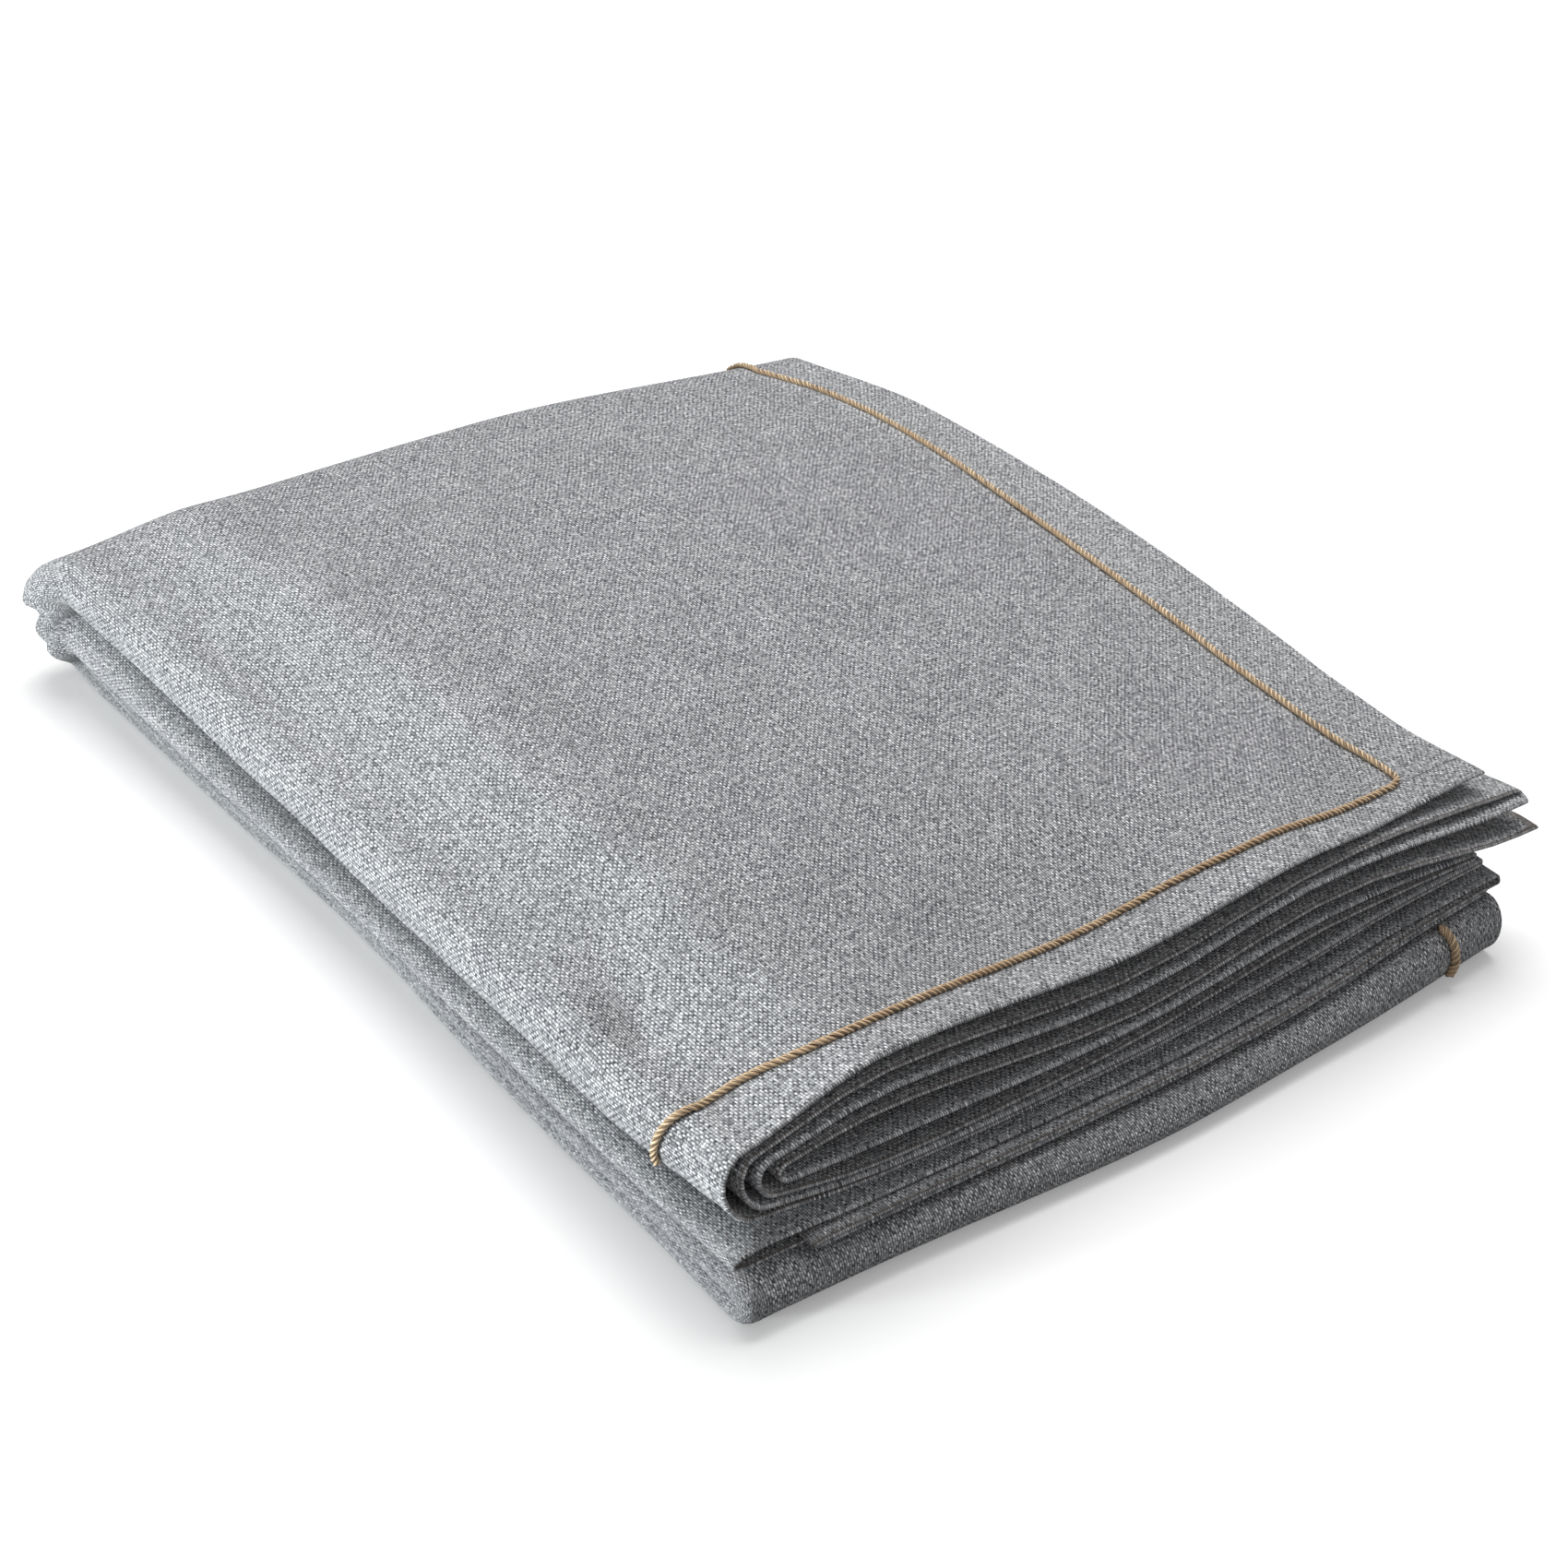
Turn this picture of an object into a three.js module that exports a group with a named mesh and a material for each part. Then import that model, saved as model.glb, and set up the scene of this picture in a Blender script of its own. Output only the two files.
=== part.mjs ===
// Folded tablecloth with a twisted cord sewn inside its hems.
// The cloth was folded into eight layers across, then folded twice along: four bundles lie on each other.
// Millimetres. X runs along the near edge, Y away from it, Z up, and the floor is at zero.
import * as THREE from 'three';

// Driving dimensions
const SHEET_THICKNESS = 1.0;
const FAR_TURN = 356;
const FAR_TURN_RIGHT_DROP = 15;
const FAR_TURN_LEFT_REACH = 6;
const TOP_HEIGHT = 58;
const CROWN_RISE = 7;
const CROWN_CENTRE = { x: 175, y: 215 };
const CROWN_HALF = { x: 175, y: 230 };
const FAR_SAG = { depth: 3, from: 280, to: 360 };
const UNDER_TOP_BUNDLE = 23.5;
const SIDE_ROUND = { from: -5, to: 43 };
const SECOND_SIDE_BOTTOM = 13.8;
const FLOOR_LAYER = SHEET_THICKNESS / 2;
const FLOOR_FLATNESS = 0.05;
const RIGHT_NOSE_LIMIT = 6;
const FRONT_GUESS = 8;
const CORD_RADIUS = 1.4;
const CORD_GAP = 0.45;
const CORD_SIDES = 8;
const CORD_CORNER = 5;
const CORD_CORNER_STEPS = 4;
const CORD_FLOOR_GAP = 0.4;

// Places across the near edge where the tables below give heights, named by their distance
const STATIONS = { at10: 10, at50: 50, at140: 140, at205: 205, at240: 240, at285: 285 };

// The top bundle, one row a layer from the top down: where its left fold and right end lie,
// how far its front edge stands back, how far it reaches past the far turn,
// and the heights of its front edge at the stations
const TOP_BUNDLE = [
  { left: 9, nose: 10.0, front: 12, frontRight: 16, rightNear: 290, rightInner: 285, farReach: 0,
    at10: 49.0, at50: 59.8, at140: 54.3, at205: 60.2, at240: 58.0, at285: 57.8 },
  { left: 12, nose: 7.5, front: 11, frontRight: 11, rightNear: 302, rightInner: 285, farReach: 0,
    at10: 46.4, at50: 55.0, at140: 46.9, at205: 54.0, at240: 54.8, at285: 51.0 },
  { left: 15, nose: 5.5, front: 9, frontRight: 7, rightNear: 302, rightInner: 285, farReach: 6,
    at10: 43.8, at50: 50.0, at140: 42.6, at205: 51.0, at240: 51.2, at285: 47.6 },
  { left: 19, nose: 3.5, front: 8, frontRight: 3, rightNear: 308, rightInner: 283, farReach: 9,
    at10: 41.2, at50: 45.2, at140: 36.0, at205: 44.0, at240: 45.5, at285: 40.5 },
  { left: 19, nose: 3.5, front: 6, frontRight: 6, rightNear: 280, rightInner: 282, farReach: 9,
    at10: 38.6, at50: 36.2, at140: 33.0, at205: 39.6, at240: 39.8, at285: 36.0 },
  { left: 15, nose: 5.5, front: 6, frontRight: 6, rightNear: 280, rightInner: 282, farReach: 6,
    at10: 36.0, at50: 28.6, at140: 28.0, at205: 35.6, at240: 36.0, at285: 34.4 },
  { left: 12, nose: 7.5, front: 5, frontRight: 6, rightNear: 284, rightInner: 284, farReach: 0,
    at10: 33.5, at50: 27.0, at140: 24.4, at205: 27.8, at240: 31.6, at285: 32.6 },
  { left: 9, nose: 10.0, front: 5, frontRight: 6, rightNear: 284, rightInner: 284, farReach: 0,
    at10: 31.0, at50: 25.4, at140: 22.8, at205: 26.2, at240: 30.0, at285: 31.0 },
];

// The second bundle from its underside up, which is the top bundle's order turned over
const SECOND_BUNDLE = [
  { left: 8, leftInner: 8, nose: 9, front: 4, frontRight: 4, rightNear: 288, rightInner: 288, inner: 13.8,
    at10: 16.6, at50: 15.0, at140: 11.8, at205: 13.8, at240: 17.9, at285: 21.0 },
  { left: 26, leftInner: 12, nose: 4, front: -1, frontRight: 2, rightNear: 285, rightInner: 285, inner: 16,
    at10: 18.2, at50: 16.6, at140: 13.3, at205: 15.6, at240: 19.6, at285: 22.6 },
  { left: 26, leftInner: 12, nose: 4, front: -1, frontRight: 2, rightNear: 290, rightInner: 286, inner: 18.2,
    at10: 19.7, at50: 18.2, at140: 14.8, at205: 17.2, at240: 21.4, at285: 24.2 },
  { left: 8, leftInner: 8, nose: 9, front: 3, frontRight: 3, rightNear: 290, rightInner: 286, inner: 20.4,
    at10: 22.8, at50: 20.0, at140: 16.8, at205: 19.4, at240: 23.8, at285: 26.2 },
];

// The two lowest bundles share one height, split evenly, and one bowed near fold
const LOW_INNER_TOP = 11.5;
const LOW_TOP = { at10: 14.9, at50: 13.5, at140: 10.3, at205: 12.2, at240: 16.2, at285: 19.4 };
const LOW_FRONT = { at10: -3.5, at50: -5, at140: -10.3, at205: -8.6, at240: -7.2, at285: -3.6 };

// The layers that go round the folds between bundles, by their place in the top bundle: their ends
// in the two lowest bundles, and how far they reach past the line where the bundles turn
const TURNED_LAYERS = [
  { place: 0, left: 3.8, nose: 5.5, right: 289, farOuter: 25, farInner: 1.1, near: 6.5 },
  { place: 1, left: 5.8, nose: 3.2, right: 287, farOuter: 22.5, farInner: 3.4, near: 5 },
  { place: 6, left: 5.8, nose: 3.2, right: 285, farOuter: 11.5, farInner: 5.4, near: 2.6 },
  { place: 7, left: 3.8, nose: 5.5, right: 285, farOuter: 9.5, farInner: 7.4, near: 0.9 },
];

// At depths from the near edge: how far the bundles' left edges stand out, the middle height
// and half height of the top bundle's left side, and the height of the second bundle's
const LEFT_SIDE = [
  { y: 10, top: 0, second: 0, low: 0, middle: 40, half: 9.5, secondTop: 25 },
  { y: 40, top: 3, second: 2, low: 0.3, middle: 39.9, half: 9.5, secondTop: 25 },
  { y: 110, top: 3, second: 2, low: 0, middle: 36.4, half: 10.2, secondTop: 23.6 },
  { y: 180, top: 6, second: 2, low: -2.2, middle: 35, half: 10.9, secondTop: 21.6 },
  { y: 215, top: 8.6, second: 3, low: -1.4, middle: 34.3, half: 11, secondTop: 20.8 },
  { y: 265, top: 5.7, second: 6, low: 1.2, middle: 35.4, half: 10.4, secondTop: 22.5 },
  { y: 315, top: 5.4, second: 11, low: 3, middle: 38.6, half: 9, secondTop: 27 },
  { y: 356, top: 9.5, second: 13.5, low: 4, middle: 39, half: 9, secondTop: 27.4 },
];

// The right side bulges along its middle and drops back at the far end
const RIGHT_SIDE = { bulge: 9, bulgeFrom: 80, bulgeLength: 280, farDrop: 8, dropFrom: 285, dropTo: 365 };

// The far left corners are drawn out sideways as they turn
const FAR_CORNER = { spread: 12, from: 40, to: -8, fullHeight: 26 };

// Depths over which the near edge's own shape gives way to the inner one
const NEAR_HEIGHTS = { from: 15, to: 95 };
const NEAR_LEFT = { from: 15, to: 120 };
const NEAR_RIGHT = { from: 8, to: 50 };
const FRONT_TO_RIGHT = { from: 200, to: 290 };

// Order of the layers along the cloth, as places in the top bundle counted from its top
const CLOTH_ORDER = [0, 7, 6, 1, 2, 5, 4, 3];
const TURNING_LAYERS = TURNED_LAYERS.length;
const LAST_PLACE = TOP_BUNDLE.length - 1;

// Where the folded sheet has its lines: fractions across a layer from its left fold,
// and along each bundle
const CORD_ACROSS = 0.91;
const CORD_ALONG = 0.04;
const ACROSS = [0, 0.1, 0.25, 0.44, 0.6, 0.76, CORD_ACROSS, 1];
const FOLD_STEPS = 4;
const TOP_ALONG = [0, CORD_ALONG, 0.12, 0.25, 0.42, 0.58, 0.74, 0.88, 0.96];
const LOW_ALONG = [0.05, 0.14, 0.28, 0.5, 0.75, 0.92];
const FAR_STEPS = 7;
const NEAR_STEPS = 6;
const INNER_STEPS = 5;

const CLOTH_COLOUR = 0x9a9fa4;
const CORD_COLOUR = 0xb08c58;

function mix(a, b, t) {
  return a + (b - a) * t;
}

function ease(from, to, value) {
  const t = Math.min(1, Math.max(0, (value - from) / (to - from)));
  return t * t * (3 - 2 * t);
}

// A smooth curve through the values given at some places, level beyond the first and last
function curveThrough(places, values, where) {
  const last = places.length - 1;
  const place = Math.min(places[last], Math.max(places[0], where));
  let i = 0;
  while (i < last - 1 && place > places[i + 1]) {
    i += 1;
  }
  const slope = (k) => {
    const a = Math.max(0, k - 1);
    const b = Math.min(last, k + 1);
    return (values[b] - values[a]) / (places[b] - places[a]);
  };
  const width = places[i + 1] - places[i];
  const t = (place - places[i]) / width;
  const rise = values[i + 1] - values[i];
  const bend = (1 - t) * (slope(i) * width - rise) - t * (slope(i + 1) * width - rise);
  return values[i] + rise * t + t * (1 - t) * bend;
}

// A smooth curve through a table row's values at the stations
function acrossStations(row, x) {
  const names = Object.keys(STATIONS);
  return curveThrough(Object.values(STATIONS), names.map((name) => row[name]), x);
}

// A smooth curve through one column of the left side's table
function alongLeftSide(column, y) {
  return curveThrough(LEFT_SIDE.map((row) => row.y), LEFT_SIDE.map((row) => row[column]), y);
}

function easeOver(range, value) {
  return ease(range.from, range.to, value);
}

// One where the near edge's own heights hold, falling to zero further in
function nearness(y) {
  return 1 - easeOver(NEAR_HEIGHTS, y);
}

// The top surface rises to a soft crown
function topSurface(x, y) {
  const dx = (x - CROWN_CENTRE.x) / CROWN_HALF.x;
  const dy = (y - CROWN_CENTRE.y) / CROWN_HALF.y;
  const crown = CROWN_RISE * Math.max(0, 1 - dx * dx) * Math.max(0, 1 - dy * dy);
  return TOP_HEIGHT + crown - FAR_SAG.depth * easeOver(FAR_SAG, y);
}

// Zero at the top bundle's rounded left side, rising to one further in
function sideRounding(x, y) {
  return easeOver(SIDE_ROUND, x - leftOf(BUNDLES.top, 0, y));
}

function topBundleHeight(place, x, y) {
  const down = place / LAST_PLACE;
  const open = mix(topSurface(x, y), UNDER_TOP_BUNDLE, down);
  const side = alongLeftSide('middle', y) + alongLeftSide('half', y) * (1 - 2 * down);
  const inner = mix(side, open, sideRounding(x, y));
  return mix(inner, acrossStations(TOP_BUNDLE[place], x), nearness(y));
}

function secondBundleHeight(row, x, y) {
  const side = mix(SECOND_SIDE_BOTTOM, alongLeftSide('secondTop', y), row / (TURNING_LAYERS - 1));
  const inner = mix(side, SECOND_BUNDLE[row].inner, sideRounding(x, y));
  return mix(inner, acrossStations(SECOND_BUNDLE[row], x), nearness(y));
}

const TOP_LEVEL = 2 * TURNING_LAYERS - 1;

function lowBundleHeight(level, x, y) {
  const top = mix(LOW_INNER_TOP, acrossStations(LOW_TOP, x), nearness(y));
  return mix(FLOOR_LAYER, top, level / TOP_LEVEL);
}

// The far turn runs nearly straight, drops back at its right corner and reaches out at its left
function farTurn(x) {
  return FAR_TURN - FAR_TURN_RIGHT_DROP * ease(150, 290, x) + FAR_TURN_LEFT_REACH * ease(70, -10, x);
}

// Row of a turned layer, from the cloth's outside in
function turnedRow(place) {
  return TURNED_LAYERS.findIndex((row) => row.place === place);
}

function lowShape(place) {
  const { left, nose, right } = TURNED_LAYERS[turnedRow(place)];
  return { left, nose, rightNear: right, rightInner: right };
}

function frontEdge(shape, x) {
  return mix(shape.front, shape.frontRight, easeOver(FRONT_TO_RIGHT, x));
}

function nearTurn(place, x) {
  return acrossStations(LOW_FRONT, x) + TURNED_LAYERS[0].near;
}

// The bundles, each with the way its layers lie, given by their places in the top bundle
const BUNDLES = {
  top: {
    edge: 'top',
    shape: (place) => TOP_BUNDLE[place],
    height: topBundleHeight,
    front: (place, x) => frontEdge(TOP_BUNDLE[place], x),
  },
  second: {
    edge: 'second',
    shape: (place) => SECOND_BUNDLE[turnedRow(place)],
    height: (place, x, y) => secondBundleHeight(turnedRow(place), x, y),
    front: (place, x) => frontEdge(SECOND_BUNDLE[turnedRow(place)], x),
  },
  third: {
    edge: 'low',
    shape: lowShape,
    height: (place, x, y) => lowBundleHeight(TOP_LEVEL - turnedRow(place), x, y),
    front: nearTurn,
  },
  lowest: {
    edge: 'low',
    shape: lowShape,
    height: (place, x, y) => lowBundleHeight(turnedRow(place), x, y),
    front: nearTurn,
  },
};

function leftOf(bundle, place, y) {
  const { left, leftInner = left } = bundle.shape(place);
  return mix(left, leftInner, easeOver(NEAR_LEFT, y)) - alongLeftSide(bundle.edge, y);
}

function rightOf(bundle, place, y) {
  const shape = bundle.shape(place);
  const along = Math.min(1, Math.max(0, (y - RIGHT_SIDE.bulgeFrom) / RIGHT_SIDE.bulgeLength));
  const bulge = RIGHT_SIDE.bulge * Math.sin(Math.PI * along);
  const drop = RIGHT_SIDE.farDrop * ease(RIGHT_SIDE.dropFrom, RIGHT_SIDE.dropTo, y);
  return mix(shape.rightNear, shape.rightInner, easeOver(NEAR_RIGHT, y)) + bulge - drop;
}

// A line that runs along the cloth lies on a layer, or in the fold that joins two of them.
// Its cross-section place in a bundle at depth y is a point across and up.
function crossSection(bundle, line, y) {
  const at = (place) => {
    const left = leftOf(bundle, place, y);
    const x = mix(left, rightOf(bundle, place, y), line.across);
    return { x, z: bundle.height(place, x, y) };
  };
  const a = at(line.from);
  if (line.from === line.to) {
    return a;
  }
  const b = at(line.to);
  const turn = (1 - Math.cos(line.angle)) / 2;
  const halfHeight = Math.abs(a.z - b.z) / 2;
  const reach = line.across === 0 ? -bundle.shape(line.from).nose : Math.min(halfHeight, RIGHT_NOSE_LIMIT);
  return { x: mix(a.x, b.x, turn) + reach * Math.sin(line.angle), z: mix(a.z, b.z, turn) };
}

function blendPlaces(line, value) {
  const turn = (1 - Math.cos(line.angle)) / 2;
  return line.from === line.to ? value(line.from) : mix(value(line.from), value(line.to), turn);
}

// A point on a bundle's run: along goes from 0 at its front to 1 at the far turn
function runPoint(bundle, line, along) {
  const guess = crossSection(bundle, line, mix(FRONT_GUESS, FAR_TURN, along));
  const front = blendPlaces(line, (place) => bundle.front(place, guess.x));
  const reach = blendPlaces(line, (place) => bundle.shape(place).farReach ?? 0);
  const y = mix(front, farTurn(guess.x) + reach, along);
  const point = crossSection(bundle, line, y);
  return new THREE.Vector3(point.x, y, point.z);
}

// A point in the fold that joins two bundles, part of the way round it
function foldPoint(first, second, line, reachName, angle) {
  const atFront = reachName === 'near';
  const a = runPoint(first, line, atFront ? 0 : 1);
  const b = runPoint(second, line, atFront ? 0 : 1);
  const turn = (1 - Math.cos(angle)) / 2;
  const reach = blendPlaces(line, (place) => TURNED_LAYERS[turnedRow(place)][reachName]) * Math.sin(angle);
  const point = a.clone().lerp(b, turn);
  point.y += atFront ? -reach : reach;
  if (!atFront) {
    const share = easeOver(FAR_CORNER, point.x) * ease(0, FAR_CORNER.fullHeight, point.z);
    point.x -= FAR_CORNER.spread * Math.sin(angle) * share;
  }
  return point;
}

// Lines across the whole folded width, in the order of the cloth
function clothLines() {
  const lines = [];
  CLOTH_ORDER.forEach((place, i) => {
    const leftward = i % 2 === 0;
    const fractions = leftward ? [...ACROSS].reverse() : ACROSS;
    for (const across of fractions) {
      lines.push({ from: place, to: place, across, angle: 0, layer: i });
    }
    if (i < CLOTH_ORDER.length - 1) {
      for (let k = 1; k < FOLD_STEPS; k += 1) {
        const angle = (Math.PI * k) / FOLD_STEPS;
        lines.push({ from: place, to: CLOTH_ORDER[i + 1], across: leftward ? 0 : 1, angle, layer: i });
      }
    }
  });
  return lines;
}

// Stops along the cloth, from the top bundle's front edge to the second bundle's
function clothStops() {
  const { top, lowest, third, second } = BUNDLES;
  const stops = [];
  const run = (bundle, fractions) => {
    const outward = bundle === top || bundle === third;
    fractions.forEach((along) => stops.push({ outward, place: (line) => runPoint(bundle, line, along) }));
  };
  const fold = (a, b, reachName, steps) => {
    for (let k = 0; k <= steps; k += 1) {
      const angle = (Math.PI * k) / steps;
      const outward = (reachName === 'near') === (k === steps);
      stops.push({ outward, place: (line) => foldPoint(a, b, line, reachName, angle) });
    }
  };
  const outward = LOW_ALONG;
  const inward = [...LOW_ALONG].reverse();
  run(top, TOP_ALONG);
  fold(top, lowest, 'farOuter', FAR_STEPS);
  run(lowest, inward);
  fold(lowest, third, 'near', NEAR_STEPS);
  run(third, outward);
  fold(third, second, 'farInner', INNER_STEPS);
  run(second, [...inward, 0]);
  return stops;
}

// Lines past this count don't go round the folds: they stop inside the top bundle
function turningLineCount(lines) {
  const lastLayer = TURNING_LAYERS - 1;
  const turns = (line) => line.layer < lastLayer || (line.layer === lastLayer && line.from === line.to);
  return lines.filter(turns).length;
}

const lines = clothLines();
const stops = clothStops();
const outwardStops = stops.map((stop) => stop.outward);
const turningLines = turningLineCount(lines);
const topStops = TOP_ALONG.length + 1;

// The middle surface of the cloth, as a grid with its inner corner left out
function middleSurface() {
  const grid = stops.map((stop, j) => {
    const row = j < topStops - 1 ? lines : lines.slice(0, turningLines);
    return row.map((line) => stop.place(line));
  });
  const lastTop = topStops - 1;
  lines.slice(turningLines).forEach((line) => grid[lastTop].push(runPoint(BUNDLES.top, line, 1)));
  return grid;
}

function hasCell(i, j) {
  return j < topStops - 1 ? i < lines.length - 1 : i < turningLines - 1;
}

// Cells are split along the same slant, seen from above, in every layer, so that close layers stay apart
function slantsAlike(i, j) {
  const leftward = lines[i].layer % 2 === 0;
  const outward = outwardStops[j];
  return leftward === outward;
}

// Unit normals of the middle surface, averaged over the cells round each point
function surfaceNormals(grid) {
  const normals = grid.map((row) => row.map(() => new THREE.Vector3()));
  const sideA = new THREE.Vector3();
  const sideB = new THREE.Vector3();
  for (let j = 0; j < grid.length - 1; j += 1) {
    for (let i = 0; i < lines.length - 1; i += 1) {
      if (!hasCell(i, j)) {
        continue;
      }
      sideA.subVectors(grid[j + 1][i + 1], grid[j][i]);
      sideB.subVectors(grid[j + 1][i], grid[j][i + 1]);
      const face = new THREE.Vector3().crossVectors(sideB, sideA).normalize();
      normals[j][i].add(face);
      normals[j][i + 1].add(face);
      normals[j + 1][i].add(face);
      normals[j + 1][i + 1].add(face);
    }
  }
  normals.forEach((row) => row.forEach((normal) => normal.normalize()));
  return normals;
}

// The lowest layer lies quite flat on the floor
function restingHeight(z) {
  return z < FLOOR_FLATNESS ? 0 : z;
}

// The closed sheet: both faces of the middle surface, and a wall round its edge
function sheetGeometry(grid, normals) {
  const positions = [];
  const index = [];
  const numbers = [];
  const half = SHEET_THICKNESS / 2;
  grid.forEach((row, j) => {
    numbers.push(row.map((point, i) => {
      const first = positions.length / 3;
      const up = point.clone().addScaledVector(normals[j][i], half);
      const down = point.clone().addScaledVector(normals[j][i], -half);
      positions.push(up.x, up.y, restingHeight(up.z), down.x, down.y, restingHeight(down.z));
      return first;
    }));
  });
  const edges = new Map();
  const noteEdge = (a, b) => {
    if (edges.has(`${b},${a}`)) {
      edges.delete(`${b},${a}`);
    } else {
      edges.set(`${a},${b}`, [a, b]);
    }
  };
  for (let j = 0; j < grid.length - 1; j += 1) {
    for (let i = 0; i < lines.length - 1; i += 1) {
      if (!hasCell(i, j)) {
        continue;
      }
      const a = numbers[j][i];
      const b = numbers[j][i + 1];
      const c = numbers[j + 1][i + 1];
      const d = numbers[j + 1][i];
      if (slantsAlike(i, j)) {
        index.push(a, c, b, a, d, c);
        index.push(a + 1, b + 1, c + 1, a + 1, c + 1, d + 1);
      } else {
        index.push(a, d, b, b, d, c);
        index.push(a + 1, b + 1, d + 1, b + 1, c + 1, d + 1);
      }
      noteEdge(a, d);
      noteEdge(d, c);
      noteEdge(c, b);
      noteEdge(b, a);
    }
  }
  for (const [a, b] of edges.values()) {
    index.push(a, a + 1, b + 1, a, b + 1, b);
  }
  const geometry = new THREE.BufferGeometry();
  geometry.setAttribute('position', new THREE.Float32BufferAttribute(positions, 3));
  geometry.setIndex(index);
  return geometry;
}

// A path of straight stretches, sampled at its own points
class PointPath extends THREE.Curve {
  constructor(points) {
    super();
    this.points = points;
  }

  getPoint(t, target = new THREE.Vector3()) {
    const last = this.points.length - 1;
    const place = Math.min(last - 1, Math.floor(t * last));
    return target.lerpVectors(this.points[place], this.points[place + 1], t * last - place);
  }

  getPointAt(t, target) {
    return this.getPoint(t, target);
  }

  getTangentAt(t, target) {
    return this.getTangent(t, target);
  }
}

function cordGeometry(points) {
  const section = new THREE.Shape();
  for (let k = 0; k < CORD_SIDES; k += 1) {
    const angle = (2 * Math.PI * k) / CORD_SIDES;
    const x = CORD_RADIUS * Math.cos(angle);
    const y = CORD_RADIUS * Math.sin(angle);
    if (k === 0) {
      section.moveTo(x, y);
    } else {
      section.lineTo(x, y);
    }
  }
  section.closePath();
  const steps = points.length - 1;
  return new THREE.ExtrudeGeometry(section, { steps, extrudePath: new PointPath(points) });
}

const grid = middleSurface();
const normals = surfaceNormals(grid);

// A place over the cloth's outer face, where the middle of the cord lies
function overCloth(i, j) {
  const lift = SHEET_THICKNESS / 2 + CORD_GAP + CORD_RADIUS;
  return grid[j][i].clone().addScaledVector(normals[j][i], lift);
}

const CORD_LINE = ACROSS.length - 1 - ACROSS.indexOf(CORD_ACROSS);
const CORD_STOP = TOP_ALONG.indexOf(CORD_ALONG);

// A cord's path that goes down to the floor, ended just above it
function downToFloor(points) {
  const low = CORD_RADIUS + CORD_FLOOR_GAP;
  const kept = points.filter((point) => point.z > low);
  const last = kept[kept.length - 1];
  const next = points[kept.length];
  if (next) {
    kept.push(last.clone().lerp(next, (last.z - low) / (last.z - next.z)));
  }
  return kept;
}

// The top cord: up the back of the far fold, along the right hem, round the corner and along the near hem
function topCordPoints() {
  const down = [];
  for (let j = CORD_STOP + 1; j <= topStops - 1 + FAR_STEPS; j += 1) {
    down.push(overCloth(CORD_LINE, j));
  }
  const points = downToFloor(down).reverse();
  const corner = overCloth(CORD_LINE, CORD_STOP);
  const before = points[points.length - 1].clone().sub(corner).normalize().multiplyScalar(CORD_CORNER);
  const after = overCloth(CORD_LINE + 1, CORD_STOP).sub(corner).normalize().multiplyScalar(CORD_CORNER);
  for (let k = 0; k <= CORD_CORNER_STEPS; k += 1) {
    const t = k / CORD_CORNER_STEPS;
    const bend = corner.clone();
    bend.addScaledVector(before, (1 - t) * (1 - t));
    bend.addScaledVector(after, t * t);
    points.push(bend);
  }
  const underLeftFold = ACROSS.length + FOLD_STEPS - 1;
  for (let i = CORD_LINE + 1; i <= underLeftFold; i += 1) {
    points.push(overCloth(i, CORD_STOP));
  }
  return points;
}

// The lower cord: round the near fold, from under the second bundle to just above the floor
function bandCordPoints() {
  const first = topStops - 1 + FAR_STEPS + 1 + LOW_ALONG.length;
  const points = [];
  for (let j = first + NEAR_STEPS - 1; j > first; j -= 1) {
    points.push(overCloth(CORD_LINE, j));
  }
  return downToFloor(points);
}

const clothMaterial = new THREE.MeshStandardMaterial({ color: CLOTH_COLOUR, roughness: 0.95 });
const topCordMaterial = new THREE.MeshStandardMaterial({ color: CORD_COLOUR, roughness: 0.8 });
const bandCordMaterial = new THREE.MeshStandardMaterial({ color: CORD_COLOUR, roughness: 0.8 });

function named(name, geometry, material) {
  const mesh = new THREE.Mesh(geometry, material);
  mesh.name = name;
  return mesh;
}

const group = new THREE.Group();
group.add(named('cloth', sheetGeometry(grid, normals), clothMaterial));
group.add(named('cord_top', cordGeometry(topCordPoints()), topCordMaterial));
group.add(named('cord_band', cordGeometry(bandCordPoints()), bandCordMaterial));

// The part's origin is on the floor, under the middle of its outline
const outline = new THREE.Box3().setFromObject(group);
const middle = outline.getCenter(new THREE.Vector3());
group.children.forEach((mesh) => mesh.geometry.translate(-middle.x, -middle.y, 0));

export default group;
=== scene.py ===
import math
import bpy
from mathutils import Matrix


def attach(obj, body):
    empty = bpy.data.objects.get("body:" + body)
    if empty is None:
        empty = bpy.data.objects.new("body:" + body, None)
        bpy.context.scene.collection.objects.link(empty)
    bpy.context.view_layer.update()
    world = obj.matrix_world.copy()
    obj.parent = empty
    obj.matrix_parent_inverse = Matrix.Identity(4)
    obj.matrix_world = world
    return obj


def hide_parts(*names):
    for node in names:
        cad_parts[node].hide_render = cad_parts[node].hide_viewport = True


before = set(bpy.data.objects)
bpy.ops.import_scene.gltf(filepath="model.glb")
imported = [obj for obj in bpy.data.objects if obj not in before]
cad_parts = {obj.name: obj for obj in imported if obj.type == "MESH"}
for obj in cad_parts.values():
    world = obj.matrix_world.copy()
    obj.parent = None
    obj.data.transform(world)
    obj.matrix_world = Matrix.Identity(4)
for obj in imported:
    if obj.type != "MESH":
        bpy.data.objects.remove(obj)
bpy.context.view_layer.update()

from types import SimpleNamespace

import bpy
import numpy as np
from mathutils import Matrix, Vector

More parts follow.
